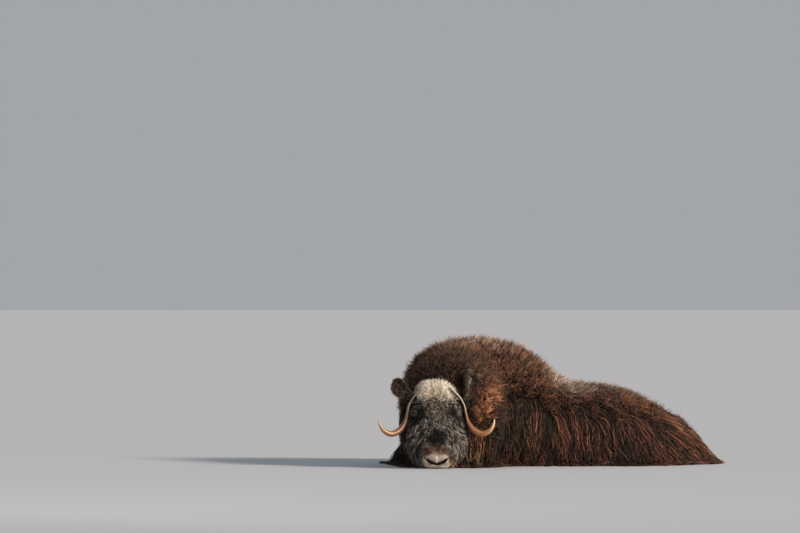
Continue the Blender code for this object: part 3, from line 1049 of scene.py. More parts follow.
@dataclass(frozen=True)
class KeratinFinish:
    """Horn or hoof: keratin laid down in sheets, so streaked along and ringed across.

    The streaks and the colour that changes from root to tip read as grown horn, worn smooth
    and a little glossy where it rubs.
    """

    name: str
    stops: tuple[tuple[float, str], ...]
    roughness: float
    streaks_round: float
    rings: float
    ring_depth: float
    # Scales the whole colour: the horns get a lighter and a darker copy of one material, painted light
    # and painted shade rather than a difference in the horn
    painted_light_scale: float = 1.0
    streaks_along: float = 3.0
    uneven: float = 0.08

    def build(self) -> Material:
        """Makes the material.

        Returns:
            The material, which reads the place round the horn and along it.
        """
        made, add = new_material(self.name)
        place = add("Attribute", attribute_name="horn_place").outputs["Vector"]
        run = add("SeparateXYZ", {0: place}).outputs["Z"]
        stretched = add(
            "VectorMath",
            {0: place, 1: (self.streaks_round, self.streaks_round, self.streaks_along)},
            operation="MULTIPLY",
        )
        streaks = add(
            "TexNoise",
            {"Vector": stretched.outputs[0], "Scale": 1.0, "Detail": 4.0, "Roughness": 0.6},
        ).outputs["Fac"]
        shift = add(
            "Math", {0: streaks, 1: 2 * self.uneven, 2: -self.uneven},
            operation="MULTIPLY_ADD",
        )
        moved = add("Math", {0: run, 1: shift.outputs[0]}, operation="ADD")
        ramp = set_ramp(add("ValToRGB", {0: moved.outputs[0]}), self.stops)
        worn = (self.roughness - 0.06, self.roughness + 0.10)
        rough = add("MapRange", ranged(streaks, worn, NOISE_SPAN))
        wave = add("Math", {0: run, 1: self.rings * 2 * math.pi}, operation="MULTIPLY")
        rings = add("Math", {0: wave.outputs[0]}, operation="SINE")
        height = add("Math", {0: rings.outputs[0], 1: 0.25, 2: streaks}, operation="MULTIPLY_ADD")
        bump = add(
            "Bump",
            {"Height": height.outputs[0], "Strength": 0.5, "Distance": self.ring_depth},
        )
        # Colour scaled by painted_light_scale: lighter for the lit horn's copy, darker for the shaded
        # horn's copy
        tones = (0.78 * self.painted_light_scale, 1.18 * self.painted_light_scale)
        close_tree(
            add, Base_Color=mottled(add, ramp.outputs["Color"], streaks, tones),
            Roughness=rough.outputs["Result"], Normal=bump.outputs["Normal"], IOR=1.56,
            Specular_IOR_Level=0.5, Coat_Weight=0.10, Coat_Roughness=0.25,
        )
        return made


@dataclass(frozen=True)
class CorneaFinish:
    """A wet eye: dark iris and pupil seen through a clear cornea, which gives one sharp glint."""

    name: str = "wet_cornea"
    fibre_mm: float = 10 / 9

    def build(self) -> Material:
        """Makes the material.

        Returns:
            The material, which reads the colours of pupil, iris and white from the eyeball.
        """
        made, add = new_material(self.name)
        colour = add("Attribute", attribute_name="coat_colour")
        where = add("TexCoord").outputs["Object"]
        fibres = add("TexNoise", {"Vector": where, "Scale": 1000 / self.fibre_mm, "Detail": 2.0})
        tones = mottled(add, colour.outputs["Color"], fibres.outputs["Fac"], (0.7, 1.3), (0.0, 1.0))
        close_tree(
            add, Base_Color=tones, Roughness=0.55, IOR=1.376, Specular_IOR_Level=0.10,
            Coat_Weight=1.0, Coat_Roughness=0.03, Coat_IOR=1.376,
        )
        return made


@dataclass(frozen=True)
class BoardFinish:
    """Painted studio board: matt and pale, so that it only carries the shadow."""

    name: str = "painted_board"
    colour: str = "#bdc1c7"
    mottle_mm: float = 1000 / 3

    def build(self) -> Material:
        """Makes the material.

        Returns:
            The material, a pale paint with a very faint roller mottle.
        """
        made, add = new_material(self.name)
        where = add("TexCoord").outputs["Object"]
        mottle = add(
            "TexNoise", {"Vector": where, "Scale": 1000 / self.mottle_mm, "Detail": 3.0}
        ).outputs["Fac"]
        rough = add("MapRange", ranged(mottle, (0.85, 0.95), (0.0, 1.0)))
        close_tree(
            add, Base_Color=(*linear(self.colour), 1.0), Roughness=rough.outputs["Result"],
            Specular_IOR_Level=0.2,
        )
        return made


# Skin


class Part(Enum):
    """What a piece of skin covers."""

    BODY = 0
    HEAD = 1
    EAR_LEFT = 2
    EAR_RIGHT = 3
    LID = 4


@dataclass
class Surface:
    """The finished skin as arrays, which the coat grows from."""

    points: Array
    triangles: Array
    normals: Array
    part: Array
    corners: Array
    inner_ear: Array


@dataclass(frozen=True)
class Leg:
    """A folded leg as a tapering tube along its bones: along the trunk, across, up, radius."""

    line: tuple[tuple[float, ...], ...]
    coat: float = 0.010
    floor_gap: float = 0.008
    sides: int = 20

    def shape(self, side: int) -> Arrays:
        """The leg's skin on one side of the trunk, inside its short hair.

        Args:
            side: 1 for its left, -1 for its right.

        Returns:
            Its points and triangles.
        """
        line = np.array(self.line)
        line[:, 3] -= self.coat
        line[:, 2] = np.maximum(line[:, 2], line[:, 3] + self.floor_gap)
        path = rounded(line)
        centres = TRUNK.place(path[:, 0], -side * path[:, 1], path[:, 2])
        return rings_mesh(tube_rings(centres, TRUNK.axes()[1], path[:, 3], path[:, 3], self.sides))


@dataclass(frozen=True)
class Ear:
    """A leaf-shaped, cupped ear with rolled rims. Its side is 1 for its left, -1 for its right."""

    side: int
    part: Part
    root: Triple
    way: Triple
    length: float
    half_width: float
    toe_out: float = 0.25
    thickness: float = 0.0048
    bow: float = 0.010
    tip_bend: float = 0.010
    stub_from: Triple = (0.055, 0.030, -0.045)
    stub_reach: float = 0.034
    stub_radii: Pair = (0.032, 0.015)
    rows: int = 30
    columns: int = 16

    def axes(self) -> Array:
        """Which way the ear stands.

        Returns:
            Its way across, to its back and to its tip, a row each.
        """
        up = unit(np.array(self.way))
        front = np.array([self.side * self.toe_out, -1.0, 0.0])
        front = unit(front - up * (front @ up))
        return np.stack([np.cross(-front, up), -front, up])

    def base(self) -> Array:
        """Where the ear leaves the head."""
        return np.array(HEAD.middle) + np.array(self.root)

    def off_middle(self, points: Array) -> Array:
        """How far points lie from the ear's middle line.

        Args:
            points: places on the ear.

        Returns:
            The distance of each, across the ear.
        """
        across, _, up = self.axes()
        off = points - self.base()
        run = np.clip(off @ up / self.length, 0, 1)
        return off @ across - self.side * self.bow * np.sin(math.pi * run)

    def stub(self) -> Arrays:
        """The fleshy root that joins the ear to the skull.

        Returns:
            Its points and triangles.
        """
        base, (across, _, up) = self.base(), self.axes()
        inner = base + np.array(self.stub_from) * [-self.side, 1, 1]
        end = base + self.stub_reach * up + across * (self.side * self.bow * math.sin(math.pi * 0.2))
        path = rounded(np.stack([inner, base, end]))
        radii = np.linspace(*self.stub_radii, len(path))
        return rings_mesh(tube_rings(path, BACK, radii, radii, 20))

    def shape(self) -> tuple[Array, Array, Array]:
        """The ear's two faces.

        Returns:
            Its points, its triangles, and which points are on the hollow face.
        """
        t = np.linspace(0, 1, self.rows)[:, None]
        c = np.linspace(-1, 1, self.columns)[None, :]
        widened = 0.42 + 0.58 * np.sin(math.pi * np.minimum(t * 1.25, 1) / 2)
        tip = np.sqrt(np.clip(1 - np.clip((t - 0.62) / 0.39, 0, None) ** 2, 0.0004, None))
        half = self.half_width * widened * tip
        cup = 0.72 * half * c**2 + 0.16 * half * np.abs(c) ** 6 - 0.10 * half
        bowed = self.side * self.bow * np.sin(math.pi * t)
        thick = self.thickness * (1 - 0.55 * np.abs(c) ** 4) * (1 - 0.4 * t)
        faces = []
        for offset in (-0.5, 0.5):
            depth = -cup - self.tip_bend * t**3 + offset * thick
            local = np.stack(np.broadcast_arrays(half * c + bowed, depth, self.length * t), -1)
            faces.append(local.reshape(-1, 3))
        points = self.base() + np.vstack(faces) @ self.axes()
        return points, self.sewn(), np.arange(len(points)) < len(faces[0])

    def sewn(self) -> Array:
        """Joins the grids of both faces at the rim.

        Returns:
            The triangles of both faces and of the rim.
        """
        grid = np.arange(self.rows * self.columns).reshape(self.rows, self.columns)
        front = quads(grid[:-1, :-1], grid[:-1, 1:], grid[1:, 1:], grid[1:, :-1])
        rim = np.concatenate([grid[0], grid[1:, -1], grid[-1, -2::-1], grid[-2:0:-1, 0]])
        after = np.roll(rim, -1)
        return np.vstack(
            [front, front[:, ::-1] + grid.size, quads(after, rim, rim + grid.size, after + grid.size)]
        )


# The mane pushes the right ear forward and out, so that one shows less of its length
EARS = (
    Ear(1, Part.EAR_LEFT, (0.158, 0.030, 0.058), (0.12, 0.10, 1.0), 0.166, 0.035),
    Ear(-1, Part.EAR_RIGHT, (-0.130, 0.030, 0.074), (-0.66, 0.05, 0.75), 0.136, 0.038),
)
RIGHT_EAR = EARS[1]


@dataclass(frozen=True)
class Lids:
    """Upper and lower eyelid as one almond band that hugs the eyeball."""

    around: int = 56
    profile: tuple[Triple, ...] = (
        (0.90, 0.0, -0.0020), (1.00, 0.0, 0.0006), (1.03, 0.0, 0.0024), (1.16, 0.0, 0.0036),
        (1.34, 0.08, 0.0036), (1.48, 0.25, 0.0014), (1.60, 0.50, 0.0038), (1.60, 0.80, 0.0034),
        (1.60, 1.0, -0.0010),
    )
    outer: float = math.radians(92)

    def shape(self, side: int) -> Arrays:
        """The band round one eye, open behind, where it lies in the head.

        Args:
            side: 1 for its left, -1 for its right.

        Returns:
            Its points and triangles.
        """
        turn = turns(self.around)
        look, across, up = EYE.axes(side)
        edge = EYE.edge(turn)
        rows = []
        for scale, rounding, lift in self.profile:
            away = blend(scale * edge, self.outer, rounding)[:, None]
            tangent = np.cos(turn)[:, None] * across + np.sin(turn)[:, None] * up
            ray = np.cos(away) * look + np.sin(away) * tangent
            rows.append(EYE.centre(side) + ray * (EYE.radius + lift))
        rings = np.stack(rows)
        points, triangles = rings_mesh(rings)
        walls = triangles[: 2 * self.around * (len(rings) - 1)]
        return points[:-2], walls if side < 0 else walls[:, ::-1]


@dataclass(frozen=True)
class Skin:
    """One skin over head, ears, neck, trunk, legs and tail, with no seam."""

    voxel: float = 0.0045
    smoothing: int = 9
    body_share: float = 0.30
    head_from: float = -0.452
    swells: tuple[tuple[Triple, float, float], ...] = (
        ((0.112, -0.030, 0.020), 0.024, 0.006), ((0.118, 0.012, -0.004), 0.034, 0.006),
        ((0.075, 0.085, 0.030), 0.032, -0.006), ((0.050, 0.243, 0.030), 0.020, 0.0045),
        ((0.085, 0.175, -0.030), 0.035, 0.005), ((0.0, 0.285, 0.0), 0.020, 0.002),
    )
    bridge: Pair = (0.030, 0.0035)
    nostril_line: Line = (
        (0.069, 0.064), (0.051, 0.049), (0.030, 0.033), (0.006, 0.0250),
    )
    nostril_sink: Triple = (0.0, 0.011, 0.003)
    lip_line: tuple[Pair, Pair] = ((0.300, -0.052), (0.020, -0.135))
    mouth_sink: float = 0.0035
    cleft_sink: float = 0.0025
    socket_depths: Pair = (-0.0035, 0.0020)
    foreleg: Leg = Leg(
        (
            (-0.52, 0.175, 0.150, 0.080), (-0.62, 0.170, 0.130, 0.074), (-0.71, 0.160, 0.105, 0.064),
            (-0.775, 0.152, 0.070, 0.050), (-0.815, 0.150, 0.040, 0.034), (-0.72, 0.146, 0.036, 0.036),
            (-0.565, 0.141, 0.030, 0.036),
        )
    )
    hindleg: Leg = Leg(
        (
            (0.28, 0.250, 0.110, 0.090), (0.38, 0.240, 0.105, 0.105), (0.50, 0.215, 0.100, 0.090),
            (0.61, 0.195, 0.080, 0.062), (0.640, 0.200, 0.052, 0.050), (0.56, 0.225, 0.040, 0.042),
            (0.43, 0.258, 0.036, 0.040), (0.255, 0.318, 0.032, 0.038),
        )
    )
    tail: tuple[Triple, ...] = (
        (0.680, 0.225, 0.024), (0.745, 0.170, 0.024), (0.800, 0.115, 0.020), (0.840, 0.070, 0.012),
    )
    lids: Lids = field(default_factory=Lids)

    def forms(self) -> list[Arrays]:
        """Every mass of flesh, as closed shapes that cross each other.

        Returns:
            The points and triangles of each.
        """
        tail = np.array(self.tail)
        tail_path = TRUNK.place(tail[:, 0], 0.0, tail[:, 1])
        shapes = [rings_mesh(form.rings()) for form in (TRUNK, NECK, HEAD)]
        shapes.append(rings_mesh(tube_rings(tail_path, TRUNK.axes()[1], tail[:, 2], tail[:, 2], 16)))
        for ear in EARS:
            shapes += [ear.stub(), self.foreleg.shape(ear.side), self.hindleg.shape(ear.side)]
        return shapes

    def fused(self) -> Object:
        """Joins the crossing masses into one smooth skin, coarser on the body than on the head.

        Returns:
            The skin so far.
        """
        obj = make_mesh("skin_base", *together(self.forms()))
        remesh = obj.modifiers.new("fuse", "REMESH")
        remesh.mode = "VOXEL"
        remesh.voxel_size = self.voxel * 1.0
        smooth = obj.modifiers.new("smooth", "SMOOTH")
        smooth.factor = 0.5
        smooth.iterations = self.smoothing
        obj = self.applied(obj)
        points = triangles_of(obj.data)[0]
        group = obj.vertex_groups.new(name="body")
        group.add(np.flatnonzero(points[:, 1] > self.head_from + 0.01).tolist(), 1.0, "REPLACE")
        thin = obj.modifiers.new("thin", "DECIMATE")
        thin.vertex_group = "body"
        thin.ratio = self.body_share
        return self.applied(obj)

    @staticmethod
    def applied(obj: Object) -> Object:
        """Turns an object's modifiers into plain mesh.

        Args:
            obj: the object, which is removed.

        Returns:
            An object of the same name with the finished mesh.
        """
        bpy.context.view_layer.update()
        graph = bpy.context.evaluated_depsgraph_get()
        mesh = bpy.data.meshes.new_from_object(obj.evaluated_get(graph))
        name = obj.name
        bpy.data.objects.remove(obj)
        return in_scene(name, mesh)

    def refined(self, obj: Object) -> Arrays:
        """Halves the edges round the eyes and on the muzzle.

        Args:
            obj: the fused skin, which is removed.

        Returns:
            The finer skin's points and triangles.
        """
        shape = bmesh.new()
        shape.from_mesh(obj.data)
        bpy.data.objects.remove(obj)
        points = np.array([vert.co for vert in shape.verts])
        on_muzzle = (HEAD.local(points)[:, 1] > 0.215) & (points[:, 1] < self.head_from)
        fine = (EYE.distance(points) < 0.040) | on_muzzle
        edges = [edge for edge in shape.edges if all(fine[vert.index] for vert in edge.verts)]
        bmesh.ops.subdivide_edges(shape, edges=edges, cuts=1, use_grid_fill=True)
        bmesh.ops.triangulate(shape, faces=shape.faces)
        mesh = bpy.data.meshes.new("skin_fine")
        shape.to_mesh(mesh)
        shape.free()
        made = triangles_of(mesh)
        bpy.data.meshes.remove(mesh)
        return made

    def on_head(self, points: Array) -> Array:
        """Which points lie nearer to the head's form than to the neck's.

        Args:
            points: the skin's points.

        Returns:
            True for each that belongs to the head.
        """
        head, neck = (
            BVHTree.FromPolygons(*(part.tolist() for part in rings_mesh(form.rings())))
            for form in (HEAD, NECK)
        )
        nearer = [head.find_nearest(point)[3] < neck.find_nearest(point)[3] for point in points.tolist()]
        return np.array(nearer) & (points[:, 1] < self.head_from + 0.06)

    def sculpted(self, points: Array, triangles: Array) -> Array:
        """Raises and sinks the head's skin into its bones, folds, nostrils and mouth.

        Args:
            points: the skin before.
            triangles: its faces.

        Returns:
            The moved points.
        """
        normals = vertex_normals(points, triangles)
        local = HEAD.local(points)
        head = ease(self.head_from, self.head_from - 0.03, points[:, 1])
        mirrored = np.stack([np.abs(local[:, 0]), local[:, 1], local[:, 2]], -1)
        rise = np.zeros(len(points))
        for place, radius, height in self.swells:
            far = np.linalg.norm(mirrored - np.array(place), axis=1)
            rise += height * np.exp(-((far / radius) ** 2))
        width, height = self.bridge
        bridge = np.exp(-((local[:, 0] / width) ** 2)) * (local[:, 2] > 0)
        rise += height * bridge * ease(-0.02, 0.04, local[:, 1]) * ease(0.22, 0.16, local[:, 1])
        points = points + normals * (rise * head)[:, None]
        points = self.with_nostrils(points, normals)
        points = self.with_mouth(points, normals)
        for side in SIDES:
            points = self.with_socket(points, side)
        on_head = points[:, 1] < self.head_from
        points[:, 2] = np.where(on_head, np.maximum(points[:, 2], 0.0015), points[:, 2])
        return points

    def nostril(self, points: Array) -> Array:
        """How deep in a nostril's slit each point of the muzzle's front lies.

        Args:
            points: the skin's points.

        Returns:
            A share from 0 to 1 for each.
        """
        flat = np.stack([np.abs(points[:, 0] - HEAD.middle[0]), points[:, 2]], -1)
        line = rounded(np.array(self.nostril_line))
        far = np.full(len(points), 1.0)
        for k, (start, end) in enumerate(zip(line, line[1:])):
            run = end - start
            t = np.clip((flat - start) @ run / (run @ run), 0, 1)
            half = 0.0050 + 0.0062 * np.sin(math.pi * 0.68 * (k + t) / (len(line) - 1))
            far = np.minimum(far, np.linalg.norm(flat - start - t[:, None] * run, axis=1) / half)
        return ease(1.15, 0.35, far) * (points[:, 1] < HEAD.middle[1] - 0.10)

    def with_nostrils(self, points: Array, normals: Array) -> Array:
        """Sinks the two slanting slits that nearly meet over the lip."""
        sink = self.nostril(points) * (normals[:, 1] < -0.1)
        return points + sink[:, None] * np.array(self.nostril_sink)

    def with_mouth(self, points: Array, normals: Array) -> Array:
        """Sinks the line of the lips and the cleft under the nose.

        Args:
            points: the skin before.
            normals: its directions.

        Returns:
            The moved points.
        """
        local = HEAD.local(points)
        (front, front_out), (corner, corner_out) = self.lip_line
        t = (local[:, 1] - front) / (corner - front)
        off = np.abs(local[:, 2] - blend(front_out, corner_out, t))
        shut = ease(0.005, 0.0, off) * ease(0.165, 0.19, local[:, 1])
        cleft = ease(0.0035, 0.0, np.abs(local[:, 0])) * (points[:, 2] < 0.026)
        cleft = cleft * (points[:, 1] < HEAD.middle[1] - 0.09)
        return points - normals * (self.mouth_sink * shut + self.cleft_sink * cleft)[:, None]

    def with_socket(self, points: Array, side: int) -> Array:
        """Lays the skin behind the eyeball where the lids open, and against it round them.

        Args:
            points: the skin before.
            side: 1 for its left eye, -1 for its right.

        Returns:
            The moved points.
        """
        centre, look = EYE.centre(side), EYE.axes(side)[0]
        off = points - centre
        far = np.linalg.norm(off, axis=1)
        away = np.arccos(np.clip(off @ look / np.maximum(far, 1e-9), -1, 1))
        wanted = EYE.radius + blend(*self.socket_depths, ease(math.radians(50), math.radians(84), away))
        share = ease(math.radians(100), math.radians(80), away) * ease(0.050, 0.034, far)
        return centre + off * (blend(far, wanted, share) / np.maximum(far, 1e-9))[:, None]

    def build(self) -> tuple[Object, Surface]:
        """Makes the skin, its colours and its flat map.

        Returns:
            The skin as a piece, and as arrays.
        """
        points, triangles = self.refined(self.fused())
        points = self.sculpted(points, triangles)
        shapes, hollow = [(points, triangles)], [np.zeros(len(points), bool)]
        parts = [np.where(self.on_head(points), Part.HEAD.value, Part.BODY.value)]
        for ear in EARS:
            ear_points, ear_triangles, inner = ear.shape()
            lid_points, lid_triangles = self.lids.shape(ear.side)
            shapes += [(ear_points, ear_triangles), (lid_points, lid_triangles)]
            parts += [np.full(len(inner), ear.part.value), np.full(len(lid_points), Part.LID.value)]
            hollow += [inner, np.zeros(len(lid_points), bool)]
        points, triangles = together(shapes)
        part, inner_ear = np.concatenate(parts), np.concatenate(hollow)
        obj = make_mesh("skin", points + SHIFT, triangles)
        colours, moist = self.colours(points, part, inner_ear)
        put_colour(obj, colours)
        put_values(obj, "moist", moist[:, None])
        normals = vertex_normals(points, triangles)
        return obj, Surface(points, triangles, normals, part, self.unwrapped(obj), inner_ear)

    def colours(self, points: Array, part: Array, hollow: Array) -> Arrays:
        """The skin's colours, with painted shade in the nostrils and the cleft under the nose, and where
        it is moist.

        Args:
            points: the skin's points.
            part: what each covers.
            hollow: which lie on an ear's hollow face.

        Returns:
            A linear colour and a moistness from 0 to 1 for each point.
        """
        head, lid = part == Part.HEAD.value, part == Part.LID.value
        ear = np.isin(part, [one.part.value for one in EARS])
        under, tips = MARKINGS.read(points, head)
        local, z = HEAD.local(points), points[:, 2]
        muzzle = ease(0.248, 0.264, local[:, 1] + 0.004 * ripple(points, 0.02, 5.0)) * head
        short = np.where(head, 0.20, 0.0)[:, None] * (1 - muzzle[:, None])
        colour = blend(under * 0.8, tips, short)
        colour = blend(colour, blend(under, tips, 0.35), muzzle[:, None])
        x = np.abs(local[:, 0])
        pad = muzzle * ease(0.056, 0.046, x) * ease(0.014, 0.024, z) * ease(0.074, 0.066, z + 0.12 * x)
        wide = 0.003 + 0.12 * np.clip(z - 0.03, 0, None)
        septum = muzzle * ease(1.6, 0.8, x / wide) * ease(0.026, 0.034, z)
        slit = np.clip(self.nostril(points) * 1.4, 0, 1) * head
        cleft = head * ease(0.004, 0.0015, x) * (z < 0.022) * muzzle
        # The near-black in the nostril slits and the dark brown in the cleft under the nose are painted
        # shade for their depth
        painted = (
            ("#a3938a", 0.9 * pad), ("#e8dccd", 0.9 * septum), ("#120d0c", slit),
            ("#2a1f1c", 0.8 * cleft), ("#54483f", lid), ("#4a3c34", ear & hollow),
            ("#2a1f1a", ear & ~hollow),
        )
        for hex_colour, share in painted:
            colour = blend(colour, linear(hex_colour), share[:, None])
        return colour, np.clip(np.maximum(pad, slit) + 0.5 * lid + 0.35 * muzzle, 0, 1)

    @staticmethod
    def unwrapped(obj: Object) -> Array:
        """Lays the skin's own shape out flat.

        Args:
            obj: the skin.

        Returns:
            Its place on the map, for each corner of each triangle.
        """
        obj.data.uv_layers.new(name=MAP)
        bpy.context.view_layer.objects.active = obj
        obj.select_set(True)
        bpy.ops.object.mode_set(mode="EDIT")
        bpy.ops.mesh.select_all(action="SELECT")
        bpy.ops.uv.smart_project(angle_limit=math.radians(66), island_margin=0.002)
        bpy.ops.object.mode_set(mode="OBJECT")
        obj.select_set(False)
        corners = np.empty(len(obj.data.loops) * 2, np.float32)
        obj.data.uv_layers[MAP].uv.foreach_get("vector", corners)
        return corners.reshape(-1, 3, 2)


# Coat


TAIL_POINT = TRUNK.place(np.array(0.97), 0.0, 0.015)
LOCK_LINE: Line = (
    (-0.80, 0.34), (-0.54, 0.34), (-0.45, 0.24), (-0.38, 0.26), (-0.28, 0.39), (0.0, 0.36),
    (0.15, 0.335), (0.45, 0.30), (0.80, 0.16),
)


@dataclass
class Roots:
    """Places on the skin that tufts grow from, in every set of axes."""

    points: Array
    normals: Array
    part: Array
    maps: Array
    inner_ear: Array

    def __post_init__(self) -> None:
        """Works out the places in the trunk's and the head's axes, and the coat's depth."""
        self.trunk = TRUNK.local(self.points)
        self.head = HEAD.local(self.points)
        self.on_head = (self.part == Part.HEAD.value).astype(float)
        self.on_body = (self.part == Part.BODY.value).astype(float)
        self.on_ear = 1 - np.clip(self.on_head + self.on_body, 0, 1) - (self.part == Part.LID.value)
        x = self.trunk[:, 0]
        upward = np.clip(self.normals[:, 2], 0, 1) ** 2
        self.depth = blend(value_along(TRUNK.side_depth, x), value_along(TRUNK.top_depth, x), upward)
        along, out = self.head[:, 1], self.head[:, 2]
        cheek = 0.012 + 1.7 * value_along(HEAD.side_depth, along) * ease(0.045, -0.02, out)
        crown = 0.050 * ease(-0.09, -0.15, along)
        self.depth = blend(self.depth, np.maximum(cheek, crown), self.on_head)
        self.neck = ease(-0.16, -0.30, self.points[:, 1]) * self.on_body
        far = np.linalg.norm(self.points - RIGHT_EAR.base() - [0.0, 0.0, 0.01], axis=1)
        self.near_ear = ease(0.080, 0.050, far) * (1 - np.clip(self.on_ear, 0, 1))
        self.near_ear = self.near_ear * ease(-0.150, -0.170, self.head[:, 0])

    def over_locks(self) -> Array:
        """How far each root lies over the line below which the coat hangs in long locks."""
        line = value_along(LOCK_LINE, self.trunk[:, 0]) + 0.05 * ripple(self.points, 0.13, 0.7)
        return self.points[:, 2] - line

    def off_belly(self, low: float, high: float) -> Array:
        """Falls to 0 on the underside, and from the higher of two heights to the lower."""
        return ease(-0.80, -0.35, self.normals[:, 2]) * ease(low, high, self.points[:, 2])

    def wool(self) -> Array:
        """Where the short standing wool grows: hump, mane crest, shoulders, saddle and back.

        Returns:
            How thickly it grows at each root, from 0 to 1.
        """
        above = ease(-0.09, 0.05, self.over_locks())
        not_rump = 1 - 0.75 * ease(0.38, 0.60, self.trunk[:, 0])
        x, along, _ = self.head.T
        oval = np.hypot(x / 0.118, (along + 0.135) / 0.098)
        behind = ease(-0.188, -0.205, along)
        beside = ease(1.05, 1.25, oval) * ease(-0.075, -0.12, along)
        return self.on_body * above * not_rump + self.on_head * np.maximum(behind, beside)

    def locks(self) -> Array:
        """Where the long locks grow: flanks, chest and the sides of the mane.

        Returns:
            How thickly they grow at each root, from 0 to 1.
        """
        below = ease(0.09, -0.05, self.over_locks())
        not_rump = 1 - 0.8 * ease(0.48, 0.66, self.trunk[:, 0])
        return self.on_body * below * self.off_belly(0.010, 0.030) * not_rump

    def sweeps(self) -> Array:
        """Where hair sweeps back over the rump."""
        return self.on_body * ease(0.34, 0.60, self.trunk[:, 0]) * self.off_belly(0.008, 0.020)

    def tail(self) -> Array:
        """Where the longest hair grows, which trails on the ground behind the rump."""
        return self.on_body * ease(0.70, 0.80, self.trunk[:, 0]) * ease(0.22, 0.14, self.points[:, 2])

    def face(self) -> Array:
        """Where short hair lies on the face, from the brow to the nose pad."""
        clear = ease(0.256, 0.244, self.head[:, 1]) * ease(0.0215, 0.0245, EYE.distance(self.points))
        return self.on_head * clear * ease(0.0, 0.012, self.points[:, 2])

    def brow(self) -> Array:
        """Where the pale wool of the forehead grows.

        Returns:
            How thickly it grows at each root, from 0 to 1.
        """
        x, along, out = self.head.T
        oval = (np.abs(x / 0.116) ** 3 + np.abs((along + 0.137) / 0.084) ** 3) ** (1 / 3)
        return self.on_head * ease(1.1, 0.8, oval) * (out > -0.06) * ease(-0.212, -0.19, along)

    def cheeks(self) -> Array:
        """Where longer hair hangs from the cheeks and the jaw.

        Returns:
            How thickly it grows at each root, from 0 to 1.
        """
        x, along, out = self.head.T
        outer = ease(0.055, 0.080, np.abs(x)) * ease(0.045, 0.0, out)
        return self.on_head * outer * ease(0.00, 0.06, along) * ease(0.258, 0.225, along)

    def fringe(self) -> Array:
        """Where the reddish fringe hangs over the top of the muzzle.

        Returns:
            How thickly it grows at each root, from 0 to 1.
        """
        x, along, out = self.head.T
        here = ease(0.200, 0.225, along) * ease(0.258, 0.246, along)
        return self.on_head * here * (out > -0.01) * (np.abs(x) < 0.085)

    def ears(self) -> Array:
        """The whole of both ears."""
        return self.on_ear

    def ruff(self) -> Array:
        """Where long dark hair of the mane lies round the root of its right ear."""
        return (self.on_head + self.on_body) * self.near_ear

    def muzzle(self) -> Array:
        """Where velvet hair covers the lips and the chin.

        Returns:
            How thickly it grows at each root, from 0 to 1.
        """
        x, z = np.abs(self.head[:, 0]), self.points[:, 2]
        pad = ease(0.052, 0.062, x) + ease(0.020, 0.012, z) + ease(0.070, 0.078, z + 0.12 * x)
        here = self.on_head * ease(0.244, 0.256, self.head[:, 1])
        return here * np.clip(pad, 0, 1) * ease(0.0, 0.004, z)


@dataclass(frozen=True)
class Growth:
    """One kind of hair: where it grows, how long it is and how it lies.

    Lengths are in metres. A layer is the height of a tuft over the skin, as a share of the coat's
    depth there, or in metres where flat_layer is set.
    """

    name: str
    slot: str
    tufts: int
    rings: int
    length: Pair
    width: float
    layer: Pair
    where: Callable[[Roots], Array]
    spread: float = 0.35
    rise: float = 0.7
    stiff: float = 1.0
    wave: float = 0.0
    wavelength: float = 0.10
    frizz: float = 0.0
    clump: int = 1
    pull: float = 0.0
    tip_light: Pair = (0.0, 1.0)
    # How dark a tuft is near the skin: partly the hair's darker roots, partly painted shade deep in the
    # coat
    root_dark_and_painted_shade: float = 0.35
    fade: float = 1.0
    # How much darker tufts at a clump's edge are painted: painted shade in the gaps between clumps
    painted_gap_shade: float = 0.6
    shared: float = 0.45
    salt: float = 0.5
    dark_share: float = 0.5
    flat_layer: bool = False
    flat: float = 0.45
    pieces: int = 1


@dataclass
class Tufts:
    """The grown tufts of one kind.

    A clump's tufts share one number from 0 to 1, and the core says how near each lies to the
    clump's middle.
    """

    paths: Array
    sides: Array
    clump: Array
    core: Array


